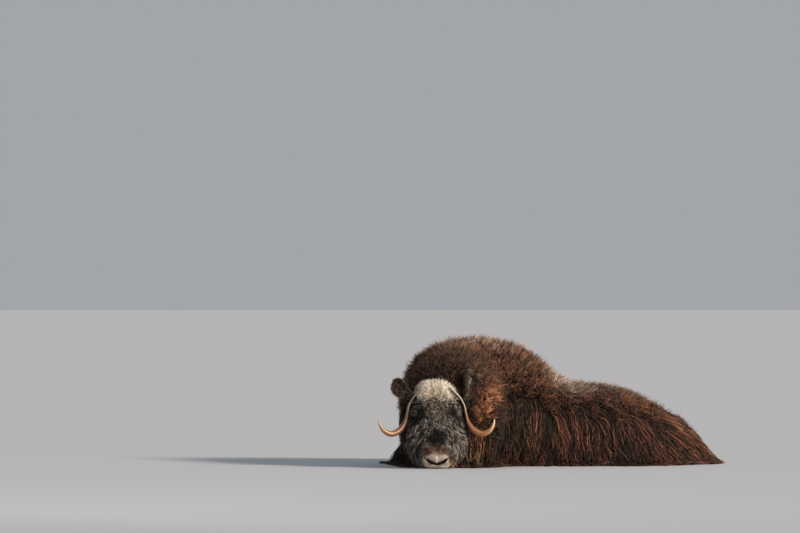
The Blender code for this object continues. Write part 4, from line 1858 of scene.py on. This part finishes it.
@dataclass
class Crop:
    """All the hair of one kind: sown on the skin, grown, drawn together and made into pieces.

    Below is the skin as a tree, for looking up what lies under a point, and the patch is the
    side of a tuft's square on the map.
    """

    growth: Growth
    surface: Surface
    below: BVHTree
    rng: np.random.Generator
    patch: float = 0.003

    def __post_init__(self) -> None:
        """Sows the roots."""
        self.roots = self.sown()

    def sown(self) -> Roots:
        """Scatters roots over the skin, thick where this kind of hair grows.

        Returns:
            The roots.
        """
        surface, rng = self.surface, self.rng
        corners = surface.points[surface.triangles]
        edges = corners[:, 1:] - corners[:, :1]
        area = np.linalg.norm(np.cross(edges[:, 0], edges[:, 1]), axis=1)
        first = surface.triangles[:, 0]
        middles = Roots(
            corners.mean(1), surface.normals[first], surface.part[first], surface.corners.mean(1),
            surface.inner_ear[first],
        )
        weight = np.cumsum(area * self.growth.where(middles))
        picks = np.searchsorted(weight, rng.random(self.growth.tufts // THINNING) * weight[-1])
        a, b = rng.random((2, len(picks), 1))
        a, b = np.where(a + b > 1, 1 - a, a), np.where(a + b > 1, 1 - b, b)
        shares = np.stack([1 - a - b, a, b], 1)
        faces = surface.triangles[picks]
        return Roots(
            (corners[picks] * shares).sum(1),
            unit((surface.normals[faces] * shares).sum(1)),
            surface.part[faces[:, 0]],
            (surface.corners[picks] * shares).sum(1),
            surface.inner_ear[faces[:, 0]],
        )

    def lie(self, points: Array, normals: Array) -> Array:
        """The way the coat lies.

        Args:
            points: how far each tuft has grown.
            normals: the skin's direction below those points.

        Returns:
            Unit vectors along the skin.
        """
        roots = self.roots
        upward, near_floor = np.clip(normals[:, 2:], 0, 1), ease(0.13, 0.02, points[:, 2:])
        body = TRUNK.axes()[0] * (0.06 + 0.85 * upward) - UP * (1.15 - upward)
        to_tail = unit(TAIL_POINT - points)
        high = 0.5 + 0.5 * ease(0.05, 0.25, points[:, 2:])
        body = blend(body, to_tail, ease(0.28, 0.72, roots.trunk[:, :1]) * high)
        neck = 0.65 * BACK * upward - UP * (1.1 - 0.9 * upward)
        body = blend(body, neck, roots.neck[:, None])
        body = body + 0.9 * near_floor * unit(normals * LEVEL + 1e-6)
        x, along, _ = roots.head.T
        half_face = 0.12
        below = np.tanh((along + 0.045) / 0.025)
        beside = ease(0.04, 0.08, np.abs(x)) * ease(0.02, 0.10, along)
        outward = x / half_face * (0.8 + 0.9 * beside)
        head = np.stack([outward, below, -0.5 * np.abs(x) / half_face], -1) @ HEAD.axes()
        head = head - UP * (0.5 * ease(0.05, 0.12, np.abs(x)))[:, None]
        way = blend(body, head, roots.on_head[:, None])
        along_ear = RIGHT_EAR.axes()[2] + np.array([0.1, -0.25, 0.3])
        way = blend(way, along_ear, 0.85 * roots.near_ear[:, None])
        for ear in EARS:
            across, _, up = ear.axes()
            fanned = up + across * (22.0 * ear.off_middle(roots.points))[:, None]
            way = np.where((roots.part == ear.part.value)[:, None], fanned, way)
        free = 0.6 * near_floor * roots.on_body[:, None]
        return unit(way - (1 - free) * normals * along_rows(way, normals))

    def grown(self) -> Arrays:
        """Lets tufts grow along the skin, each at its own height over it.

        Returns:
            The tufts' paths, and the direction away from the skin at each of their points.
        """
        growth, roots, rng = self.growth, self.roots, self.rng
        count, rings = len(roots.points), growth.rings
        length = rng.uniform(*growth.length, (count, 1))
        height = rng.uniform(*growth.layer, (count, 1))
        if not growth.flat_layer:
            height = height * roots.depth[:, None]
            length = np.maximum(length, 1.05 * height)
        turn = growth.spread * rng.standard_normal((count, 1))
        turn += growth.spread * ripple(roots.points, 0.09, 3.7)[:, None]
        paths, ups = [roots.points], [roots.normals]
        point, normal = roots.points, roots.normals
        risen = np.zeros((count, 1))
        for step in range(1, rings + 1):
            t = step / rings
            wanted = height * t**growth.rise
            step_length = length / rings
            level = step_length**2 - (wanted - risen) ** 2
            advance = np.sqrt(np.maximum(level, (0.15 * step_length) ** 2))
            risen = wanted
            way = self.lie(point, normal)
            way = way * np.cos(turn) + np.cross(normal, way) * np.sin(turn)
            raw = point + way * advance
            below, normal = self.looked_up(raw)
            over = along_rows(raw - below, normal)
            lift = np.maximum(wanted - over, -growth.stiff * advance)
            point = self.on_floor(raw + normal * lift, normal)
            paths.append(point)
            ups.append(normal)
        return np.stack(paths, 1), np.stack(ups, 1)

    def on_floor(self, points: Array, normals: Array) -> Array:
        """Bends what would pass through the floor outwards over it.

        Args:
            points: how far the tufts have grown.
            normals: the skin's direction below those points.

        Returns:
            The points, all clear of the floor.
        """
        low = 0.003 + 0.008 * self.rng.random(len(points))
        short = np.maximum(low - points[:, 2], 0)[:, None]
        return points + short * (0.8 * unit(normals * LEVEL + 1e-6) + UP)

    def looked_up(self, points: Array) -> Arrays:
        """The nearest place on the skin to each point, and the skin's direction there."""
        found = [self.below.find_nearest(point) for point in points.tolist()]
        return np.array([hit[0] for hit in found]), np.array([hit[1] for hit in found])

    def shaped(self, paths: Array, ups: Array) -> Tufts:
        """Draws tufts together in clumps and waves them.

        Args:
            paths: their paths.
            ups: directions away from the skin.

        Returns:
            The finished tufts.
        """
        growth, roots, rng = self.growth, self.roots, self.rng
        count, rings = len(paths), growth.rings
        t = np.linspace(0, 1, rings + 1)[None, :, None]
        seeds = rng.permutation(count)[: max(1, count // growth.clump)]
        tree = KDTree(len(seeds))
        for i, seed in enumerate(seeds):
            tree.insert(roots.points[seed], i)
        tree.balance()
        found = [tree.find(point)[1:] for point in roots.points.tolist()]
        lead = seeds[np.array([hit[0] for hit in found])]
        far = np.array([hit[1] for hit in found])
        core = 1 - ease(0.15, 1.0, far / np.quantile(far, 0.9)) if growth.clump > 1 else np.ones(count)
        for _ in range(2 if rings > 3 else 0):
            paths[:, 1:-1] = 0.5 * paths[:, 1:-1] + 0.25 * (paths[:, :-2] + paths[:, 2:])
        drawn = paths[lead] + (paths[:, :1] - paths[lead][:, :1]) * (1 - 0.8 * t)
        paths = blend(paths, drawn, growth.pull * t)
        ahead = unit(np.gradient(paths, axis=1))
        side = unit(np.cross(ahead, ups))
        phase = (rng.random((count, 1, 1)) * 1.5 + rng.random(count)[lead][:, None, None] * 6.0)
        length = np.linalg.norm(np.diff(paths, axis=1), axis=-1).sum(1)[:, None, None]
        swing = np.sin(2 * math.pi * t * length / growth.wavelength + phase) * np.sqrt(t)
        paths = paths + side * (growth.wave * swing)
        paths = paths + growth.frizz * t * rng.standard_normal(paths.shape)
        paths = blend(paths, TRUNK.drawn_in(paths), roots.on_body[:, None, None])
        paths[..., 2] = np.maximum(paths[..., 2], 0.002)
        return Tufts(paths, side, rng.random(count)[lead], core)

    def build(self, look: Material) -> None:
        """Turns tufts into flattened spikes, each a closed mesh, and joins them into pieces.

        Args:
            look: their material.
        """
        growth, rng = self.growth, self.rng
        tufts = self.shaped(*self.grown())
        paths, count, rings = tufts.paths, len(tufts.paths), growth.rings
        t = np.linspace(0, 1, rings + 1)
        ahead = unit(np.gradient(paths, axis=1))
        outs = unit(np.cross(tufts.sides, ahead))
        half = 0.5 * growth.width * rng.uniform(0.6, 1.3, (count, 1))
        wide = (half * (0.55 + 0.9 * np.sqrt(t) - 1.0 * t**2)[None, :])[:, :rings, None]
        centre, side, out = paths[:, :rings], tufts.sides[:, :rings], outs[:, :rings]
        ridge = centre + out * wide * growth.flat * 2
        ring = np.stack([centre + side * wide, ridge, centre - side * wide], 2)
        points = np.concatenate([ring.reshape(count, -1, 3), paths[:, -1:]], axis=1)
        per = 3 * rings + 1
        faces = self.spike(rings)
        share = np.append(np.repeat(t[:rings], 3), 1.0)
        across = np.append(np.tile([0.0, 0.5, 1.0], rings), 0.5)
        colours = self.colours(tufts, share)
        strand = rng.random(count)
        place = np.stack(np.broadcast_arrays(across[None], share[None] * 3, strand[:, None]), -1)
        patch = self.patch * np.stack([across - 0.5, share - 0.5], -1)
        maps = self.roots.maps[:, None] + patch[None]
        order = np.argsort(paths[:, 0, 0] if growth.pieces > 1 else strand, kind="stable")
        for i, group in enumerate(np.array_split(order, growth.pieces)):
            triangles = (faces[None] + per * np.arange(len(group))[:, None, None]).reshape(-1, 3)
            name = growth.name if growth.pieces == 1 else f"{growth.name}_{i + 1}"
            obj = make_mesh(name, points[group].reshape(-1, 3) + SHIFT, triangles)
            put_colour(obj, colours[group].reshape(-1, 3))
            put_values(obj, "hair_place", place[group].reshape(-1, 3))
            put_map(obj, maps[group].reshape(-1, 2)[triangles.ravel()])
            settle(obj, look, growth.slot)

    @staticmethod
    def spike(rings: int) -> Array:
        """One three-sided spike's faces.

        Args:
            rings: how many rings of three points it has below its tip.

        Returns:
            Its triangles.
        """
        faces = [(0, 1, 2)]
        for k in range(rings - 1):
            for i in range(3):
                a, b = 3 * k + i, 3 * k + (i + 1) % 3
                faces += [(a, a + 3, b), (b, a + 3, b + 3)]
        top = 3 * (rings - 1)
        faces += [(top + i, 3 * rings, top + (i + 1) % 3) for i in range(3)]
        return np.array(faces)

    def colours(self, tufts: Tufts, share: Array) -> Array:
        """The colour of each vertex of each tuft, with painted shade between clumps and deep in the
        coat.

        Args:
            tufts: the tufts.
            share: how far along the tuft each of its vertices lies.

        Returns:
            Linear colours, by tuft and vertex.
        """
        growth, roots, rng = self.growth, self.roots, self.rng
        under, tips = MARKINGS.read(roots.points, roots.on_head)
        for ear in EARS:
            here = (roots.part == ear.part.value)[:, None]
            middle = ease(0.015, 0.007, np.abs(ear.off_middle(roots.points)))
            inner = (middle * roots.inner_ear)[:, None]
            under = np.where(here, blend(linear("#1d1410"), linear("#6b5d50"), inner), under)
            tips = np.where(here, blend(linear("#7a6350"), linear("#e8dccb"), inner), tips)
        mixed = blend(rng.random(len(roots.points)), tufts.clump, growth.shared)
        mixed = ease(growth.dark_share - growth.salt, growth.dark_share + growth.salt, mixed)
        light = blend(*growth.tip_light, mixed)[:, None]
        tone = (0.65 + 0.7 * rng.random(len(roots.points)))[:, None]
        # Tufts at a clump's edge are painted darker and those at its middle lighter: painted shade in
        # the gaps between clumps
        tone = tone * blend(growth.painted_gap_shade, 1.15, tufts.core)[:, None]
        # Near the skin each tuft is darkened further: partly darker roots, partly painted shade within
        # the coat
        start = under * growth.root_dark_and_painted_shade * tone
        end = blend(under, tips, light) * tone
        return blend(start[:, None], end[:, None], (share**growth.fade)[None, :, None])


@dataclass(frozen=True)
class Coat:
    """Every tuft and lock, grown out of the skin and laid the way the coat lies."""

    growths: tuple[Growth, ...] = (
        Growth(
            "wool", "coat", 41000, 2, (0.055, 0.078), 0.0046, (0.72, 1.16), Roots.wool, spread=1.8,
            rise=0.9, wave=0.006, wavelength=0.05, frizz=0.011, clump=5, pull=0.6, root_dark_and_painted_shade=0.20,
            fade=1.5, shared=0.85, salt=0.16, dark_share=0.55, pieces=3,
        ),
        Growth(
            "locks", "coat", 13000, 6, (0.14, 0.33), 0.0052, (0.35, 1.0), Roots.locks, spread=0.16,
            rise=0.5, stiff=0.45, wave=0.007, wavelength=0.115, frizz=0.004, clump=5, pull=0.65,
            fade=0.8, painted_gap_shade=0.35, shared=0.80, salt=0.18, dark_share=0.66, pieces=3,
        ),
        Growth(
            "sweeps", "coat", 4800, 6, (0.14, 0.27), 0.0052, (0.30, 1.0), Roots.sweeps, spread=0.12,
            rise=0.6, stiff=0.22, wave=0.004, wavelength=0.13, frizz=0.004, clump=5, pull=0.75,
            painted_gap_shade=0.35, shared=0.85, salt=0.2, dark_share=0.58, pieces=2,
        ),
        Growth(
            "tail_hair", "coat", 1000, 6, (0.16, 0.28), 0.0058, (0.30, 1.0), Roots.tail, spread=0.08,
            rise=0.6, stiff=0.10, wave=0.004, wavelength=0.15, frizz=0.004, clump=5, pull=0.7,
            painted_gap_shade=0.35, shared=0.85, salt=0.2, dark_share=0.58,
        ),
        Growth(
            "face_hair", "face_hair", 15000, 2, (0.015, 0.028), 0.0032, (0.005, 0.013), Roots.face,
            spread=0.32, frizz=0.003, clump=3, pull=0.5, root_dark_and_painted_shade=0.40, painted_gap_shade=0.55, shared=0.55,
            salt=0.22, dark_share=0.58, flat_layer=True,
        ),
        Growth(
            "brow_wool", "face_hair", 4200, 3, (0.026, 0.044), 0.0040, (0.012, 0.032), Roots.brow,
            spread=1.5, wave=0.003, wavelength=0.02, frizz=0.006, clump=4, pull=0.4,
            tip_light=(0.75, 1.0), root_dark_and_painted_shade=0.80, fade=0.8, painted_gap_shade=0.85, flat_layer=True,
        ),
        Growth(
            "cheek_hair", "face_hair", 5000, 4, (0.040, 0.095), 0.0044, (0.4, 1.1), Roots.cheeks,
            spread=0.3, stiff=0.6, wave=0.003, wavelength=0.05, frizz=0.004, clump=6, pull=0.5,
            painted_gap_shade=0.5, shared=0.8, salt=0.25, dark_share=0.55,
        ),
        Growth(
            "nose_fringe", "face_hair", 1100, 3, (0.016, 0.030), 0.0032, (0.002, 0.009),
            Roots.fringe, spread=0.5, frizz=0.003, clump=4, pull=0.4, tip_light=(0.1, 1.0),
            root_dark_and_painted_shade=0.55, flat_layer=True,
        ),
        Growth(
            "ear_ruff", "face_hair", 900, 4, (0.045, 0.085), 0.0046, (0.015, 0.040), Roots.ruff,
            spread=0.5, wave=0.004, wavelength=0.06, frizz=0.005, clump=5, pull=0.5, root_dark_and_painted_shade=0.4,
            flat_layer=True,
        ),
        Growth(
            "ear_hair", "face_hair", 2800, 3, (0.016, 0.038), 0.0030, (0.003, 0.014), Roots.ears,
            spread=0.5, frizz=0.003, clump=4, pull=0.4, tip_light=(0.1, 1.0), root_dark_and_painted_shade=0.55,
            flat_layer=True,
        ),
        Growth(
            "lip_hair", "face_hair", 4000, 2, (0.005, 0.010), 0.0020, (0.0006, 0.0025),
            Roots.muzzle, spread=0.5, tip_light=(0.3, 1.0), root_dark_and_painted_shade=0.80, salt=0.3,
            flat_layer=True,
        ),
    )

    def build(self, surface: Surface, finishes: dict[str, Material]) -> None:
        """Grows the whole coat.

        Args:
            surface: the skin.
            finishes: the material of each slot.
        """
        rng = np.random.default_rng(SEED)
        ears = [ear.part.value for ear in EARS]
        solid = ~np.isin(surface.part, ears)[surface.triangles].any(1)
        bare, eared = (
            BVHTree.FromPolygons(surface.points.tolist(), surface.triangles[chosen].tolist())
            for chosen in (solid, slice(None))
        )
        for growth in self.growths:
            below = eared if growth.where is Roots.ears else bare
            Crop(growth, surface, below, rng).build(finishes[growth.slot])


# Eyes, horns and hooves


@dataclass(frozen=True)
class Eyeball:
    """A dark wet eye with a long level pupil and a slightly raised cornea."""

    around: int = 64
    rows: int = 48
    iris: float = math.radians(52)
    pupil_long: float = math.radians(24)
    pupil_high: float = math.radians(12)
    cornea: float = 0.045
    lid_gap: float = 0.0003

    def build(self, side: int, look: Material) -> None:
        """Makes one eyeball.

        Args:
            side: 1 for its left, -1 for its right.
            look: the wet eye's material.
        """
        gaze, across, up = EYE.axes(side)
        away = np.linspace(0, math.pi, self.rows)[1:-1, None]
        turn = turns(self.around)[:, None]
        radius = EYE.radius * (1 + self.cornea * np.exp(-((away / self.iris) ** 4))) - self.lid_gap
        spoke = np.cos(turn) * across + np.sin(turn) * up
        ray = np.cos(away)[..., None] * gaze + np.sin(away)[..., None] * spoke
        points, triangles = rings_mesh(EYE.centre(side) + ray * radius[..., None])
        if side > 0:
            triangles = triangles[:, ::-1]
        off = unit(points - EYE.centre(side))
        angle = np.arccos(np.clip(off @ gaze, -1, 1))
        wide, high = math.sin(self.pupil_long), math.sin(self.pupil_high)
        pupil = np.hypot((off @ across) / wide, (off @ up) / high)
        colour = np.tile(linear("#8f8378"), (len(points), 1))
        painted = (
            ("#120b07", ease(self.iris * 1.12, self.iris * 0.98, angle)),
            ("#3a2416", ease(self.iris * 0.95, self.iris * 0.6, angle)),
            ("#040303", ease(1.15, 0.85, pupil) * ((off @ gaze) > 0)),
        )
        for hex_colour, share in painted:
            colour = blend(colour, linear(hex_colour), share[:, None])
        name = "eye_" + SIDES[side]
        obj = make_mesh(name + "_ball", points + SHIFT, triangles)
        put_colour(obj, colour)
        put_map(obj, np.stack([angle / 7 + 0.5, 0.5 + 0.4 * off @ across], -1)[triangles.ravel()])
        settle(obj, look, "eye", name)


@dataclass(frozen=True)
class Horn:
    """A horn that lies flat on the brow, drops behind the eye and turns out and up to a point."""

    line: tuple[tuple[float, ...], ...] = (
        (0.074, -0.002, 0.428, 0.0042, 0.016), (0.096, 0.008, 0.409, 0.0050, 0.022),
        (0.125, 0.026, 0.377, 0.0056, 0.030), (0.147, 0.030, 0.338, 0.0060, 0.033),
        (0.157, 0.022, 0.292, 0.0070, 0.030), (0.169, 0.006, 0.246, 0.0112, 0.024),
        (0.198, -0.018, 0.204, 0.0160, 0.020), (0.241, -0.045, 0.184, 0.0155, 0.0165),
        (0.281, -0.066, 0.200, 0.0118, 0.0122), (0.303, -0.080, 0.233, 0.0066, 0.0068),
        (0.3085, -0.086, 0.264, 0.0016, 0.0016),
    )
    stations: int = 150
    sides: int = 40
    ridge: float = 0.00045
    ridges: float = 34.0

    def build(self, side: int, look: Material) -> None:
        """Makes one horn.

        Args:
            side: 1 for its left, -1 for its right.
            look: the horn's material.
        """
        steps = np.linspace(0, 1, len(self.line))
        t = np.linspace(0, 1, self.stations)
        x, y, z, thin, deep = (value_along(tuple(zip(steps, column)), t) for column in zip(*self.line))
        centres = np.stack([HEAD.middle[0] + side * x, HEAD.middle[1] + y, z], -1)
        uneven = 2 * math.pi * self.ridges * t + 2 * np.sin(9 * t)
        grown = self.ridge * np.sin(uneven) * ease(0.75, 0.25, t)
        points, triangles = rings_mesh(tube_rings(centres, BACK, thin + grown, deep + grown, self.sides))
        triangles = triangles[:, ::-1]
        angle = np.tile(turns(self.sides), self.stations)
        run = np.append(np.repeat(t, self.sides), [0, 1])
        place = np.zeros((len(points), 3))
        place[:-2, 0], place[:-2, 1], place[:, 2] = np.cos(angle), np.sin(angle), run
        name = "horn_" + SIDES[side]
        obj = make_mesh(name + "_sheath", points + SHIFT, triangles)
        put_values(obj, "horn_place", place)
        flat = np.stack([0.5 + 0.15 * np.append(angle, [0, 0]) / math.pi, 0.02 + 0.96 * run], -1)
        put_map(obj, flat[triangles.ravel()])
        settle(obj, look, "horn", name)


@dataclass(frozen=True)
class Claw:
    """One of a hoof's two claws: blunt and domed, flat towards its twin and under the sole."""

    length: float = 0.088
    width: float = 0.044
    height: float = 0.058
    taper_up: float = 0.25
    taper_back: float = 0.9
    split: float = 0.004
    ring: float = 0.010
    rings: float = 9.0
    fore: Triple = (-0.575, 0.140, 0.019)
    hind: Triple = (0.260, 0.322, 0.019)
    hind_turn: float = math.radians(-16)
    around: int = 56
    rows: int = 28

    def build(self, end: str, side: int, half: int, look: Material) -> None:
        """Makes one claw.

        Args:
            end: "fore" or "hind".
            side: 1 for its left, -1 for its right.
            half: 1 for the claw to its right, -1 for the one to its left.
            look: the hoof's material.
        """
        lift, turn = np.linspace(0, math.pi, self.rows)[1:-1, None], turns(self.around)
        x = 0.5 * np.sin(lift) * np.cos(turn)
        y = 0.5 * np.sin(lift) * np.sin(turn)
        z = 0.5 * np.cos(lift) * np.ones_like(turn)
        wear = 1 + self.ring * np.sin(2 * math.pi * self.rings * z)
        wide = y * half * 2 * self.width * (1 - self.taper_up * z) * wear
        wide = half * np.maximum(wide, self.split / 2)
        high = z * self.height * (1 + self.taper_back * x)
        points, triangles = rings_mesh(np.stack([x * self.length * wear, wide, high], -1))
        triangles = triangles[:, ::-1]
        along, across, up = self.fore if end == "fore" else self.hind
        turned = TRUNK.yaw - side * (self.hind_turn if end == "hind" else 0.0)
        cosine, sine = math.cos(turned), math.sin(turned)
        spun = points @ np.array([[cosine, sine, 0.0], [-sine, cosine, 0.0], [0.0, 0.0, 1.0]])
        placed = spun + TRUNK.place(np.array(along), -side * across, up)
        placed[:, 2] = np.maximum(placed[:, 2], 0.0)
        name = f"claw_{end}_{SIDES[side]}_{SIDES[-half]}"
        obj = make_mesh(name + "_horn", placed + SHIFT, triangles)
        put_values(obj, "horn_place", points * [20, 20, 0] + [0, 0, 0.5] + points * [0, 0, 14])
        put_map(obj, (0.5 + points[:, [0, 2]] * 6)[triangles.ravel()])
        settle(obj, look, "hoof", name)


# Studio


@dataclass(frozen=True)
class Studio:
    """A pale floor, soft low light from its left and a long lens at the photo's place."""

    floor_radius: float = 400.0
    camera_at: Triple = (-0.813, -25.56, 0.90)
    tilt: float = math.radians(0.411)
    lens: float = 210.0
    world_colour: str = "#eff3f9"
    world_strength: float = 0.42
    key_from: Triple = (0.82, -0.52, 0.42)
    key_far: float = 6.0
    key_strength: float = 4.8
    key_colour: str = "#ffeedd"
    key_softness: float = math.radians(9)
    fill_from: Triple = (-2.5, -6.0, 2.6)
    fill_size: float = 3.0
    fill_power: float = 16.0
    aim: Triple = (0.0, 0.0, 0.3)
    floor: BoardFinish = field(default_factory=BoardFinish)

    def lay_floor(self) -> None:
        """Lays a round floor that reaches the horizon."""
        bpy.ops.mesh.primitive_circle_add(vertices=96, radius=self.floor_radius, fill_type="NGON")
        ground = bpy.context.object
        ground.name = "floor"
        ground.location.z = -0.0005
        ground.data.materials.append(self.floor.build())

    def hang(self, name: str, lamp: bpy.types.Light, place: Triple) -> None:
        """Puts a light in the scene, turned towards the animal.

        Args:
            name: the light's name.
            lamp: the light.
            place: where it hangs.
        """
        obj = in_scene(name, lamp)
        obj.location = place
        obj.rotation_euler = (Vector(self.aim) - Vector(place)).to_track_quat("-Z", "Y").to_euler()

    def light(self) -> None:
        """Lights the sky, the low key and a soft fill from the camera's side."""
        world = bpy.data.worlds.new("studio")
        bpy.context.scene.world = world
        world.use_nodes = True
        back = world.node_tree.nodes["Background"]
        back.inputs["Color"].default_value = (*linear(self.world_colour), 1.0)
        back.inputs["Strength"].default_value = self.world_strength
        key = bpy.data.lights.new("key", "SUN")
        key.energy, key.angle = self.key_strength, self.key_softness
        key.color = tuple(linear(self.key_colour))
        self.hang("key", key, tuple(self.key_far * way for way in self.key_from))
        fill = bpy.data.lights.new("fill", "AREA")
        fill.shape, fill.size, fill.energy = "SQUARE", self.fill_size, self.fill_power
        self.hang("fill", fill, self.fill_from)

    def build(self) -> None:
        """Makes floor, lights and camera."""
        self.lay_floor()
        self.light()
        lens = bpy.data.cameras.new("camera")
        lens.lens, lens.sensor_width, lens.clip_end = self.lens, 36.0, 1000.0
        camera = in_scene("camera", lens)
        camera.location = np.array(self.camera_at) + SHIFT
        camera.rotation_euler = (math.pi / 2 + self.tilt, 0.0, 0.0)
        bpy.context.scene.camera = camera
        bpy.context.scene.view_settings.view_transform = "Standard"


FLESH = (
    "head", "lower_jaw", "neck", "trunk_front", "trunk_rear", "tail",
    *(f"{limb}_{side}" for limb in ("foreleg", "hindleg", "ear") for side in SIDES.values()),
)
HORN_COLOURS = (
    (0.0, "#a39a8c"), (0.30, "#a39482"), (0.44, "#6a4530"), (0.58, "#7d5034"), (0.78, "#a27046"),
    (1.0, "#dcc6a4"),
)
HOOF_COLOURS = ((0.0, "#171412"), (0.5, "#2c2623"), (1.0, "#4a413a"))


def main() -> None:
    """Builds the studio, the skin, the coat, the eyes, the horns and the hooves."""
    logging.basicConfig(level=logging.INFO, format="%(name)s: %(message)s")
    Studio().build()
    finishes = {
        "coat": HairFinish("guard_hair", 0.62, 0.16, "#ffe2c0").build(),
        "face_hair": HairFinish("face_hair", 0.60, 0.08, "#fff3e2").build(),
    }
    skin, surface = Skin().build()
    settle(skin, HideFinish().build(), "coat", *FLESH)
    Coat().build(surface, finishes)
    cornea = CorneaFinish().build()
    # Both horns share one horn colour; the left gets a painted-light copy (1.4) and the right a
    # painted-shade copy (0.72)
    horns = {
        1: KeratinFinish("horn_keratin_painted_lit", HORN_COLOURS, 0.34, 4.0, 30.0, 0.0006, 1.4).build(),
        -1: KeratinFinish("horn_keratin_painted_shade", HORN_COLOURS, 0.34, 4.0, 30.0, 0.0006, 0.72).build(),
    }
    hoof = KeratinFinish("hoof_keratin", HOOF_COLOURS, 0.50, 1.0, 9.0, 0.0008).build()
    for side in SIDES:
        Eyeball().build(side, cornea)
        Horn().build(side, horns[side])
        for end in ("fore", "hind"):
            for half in (1, -1):
                Claw().build(end, side, half, hoof)


if __name__ == "__main__":
    main()
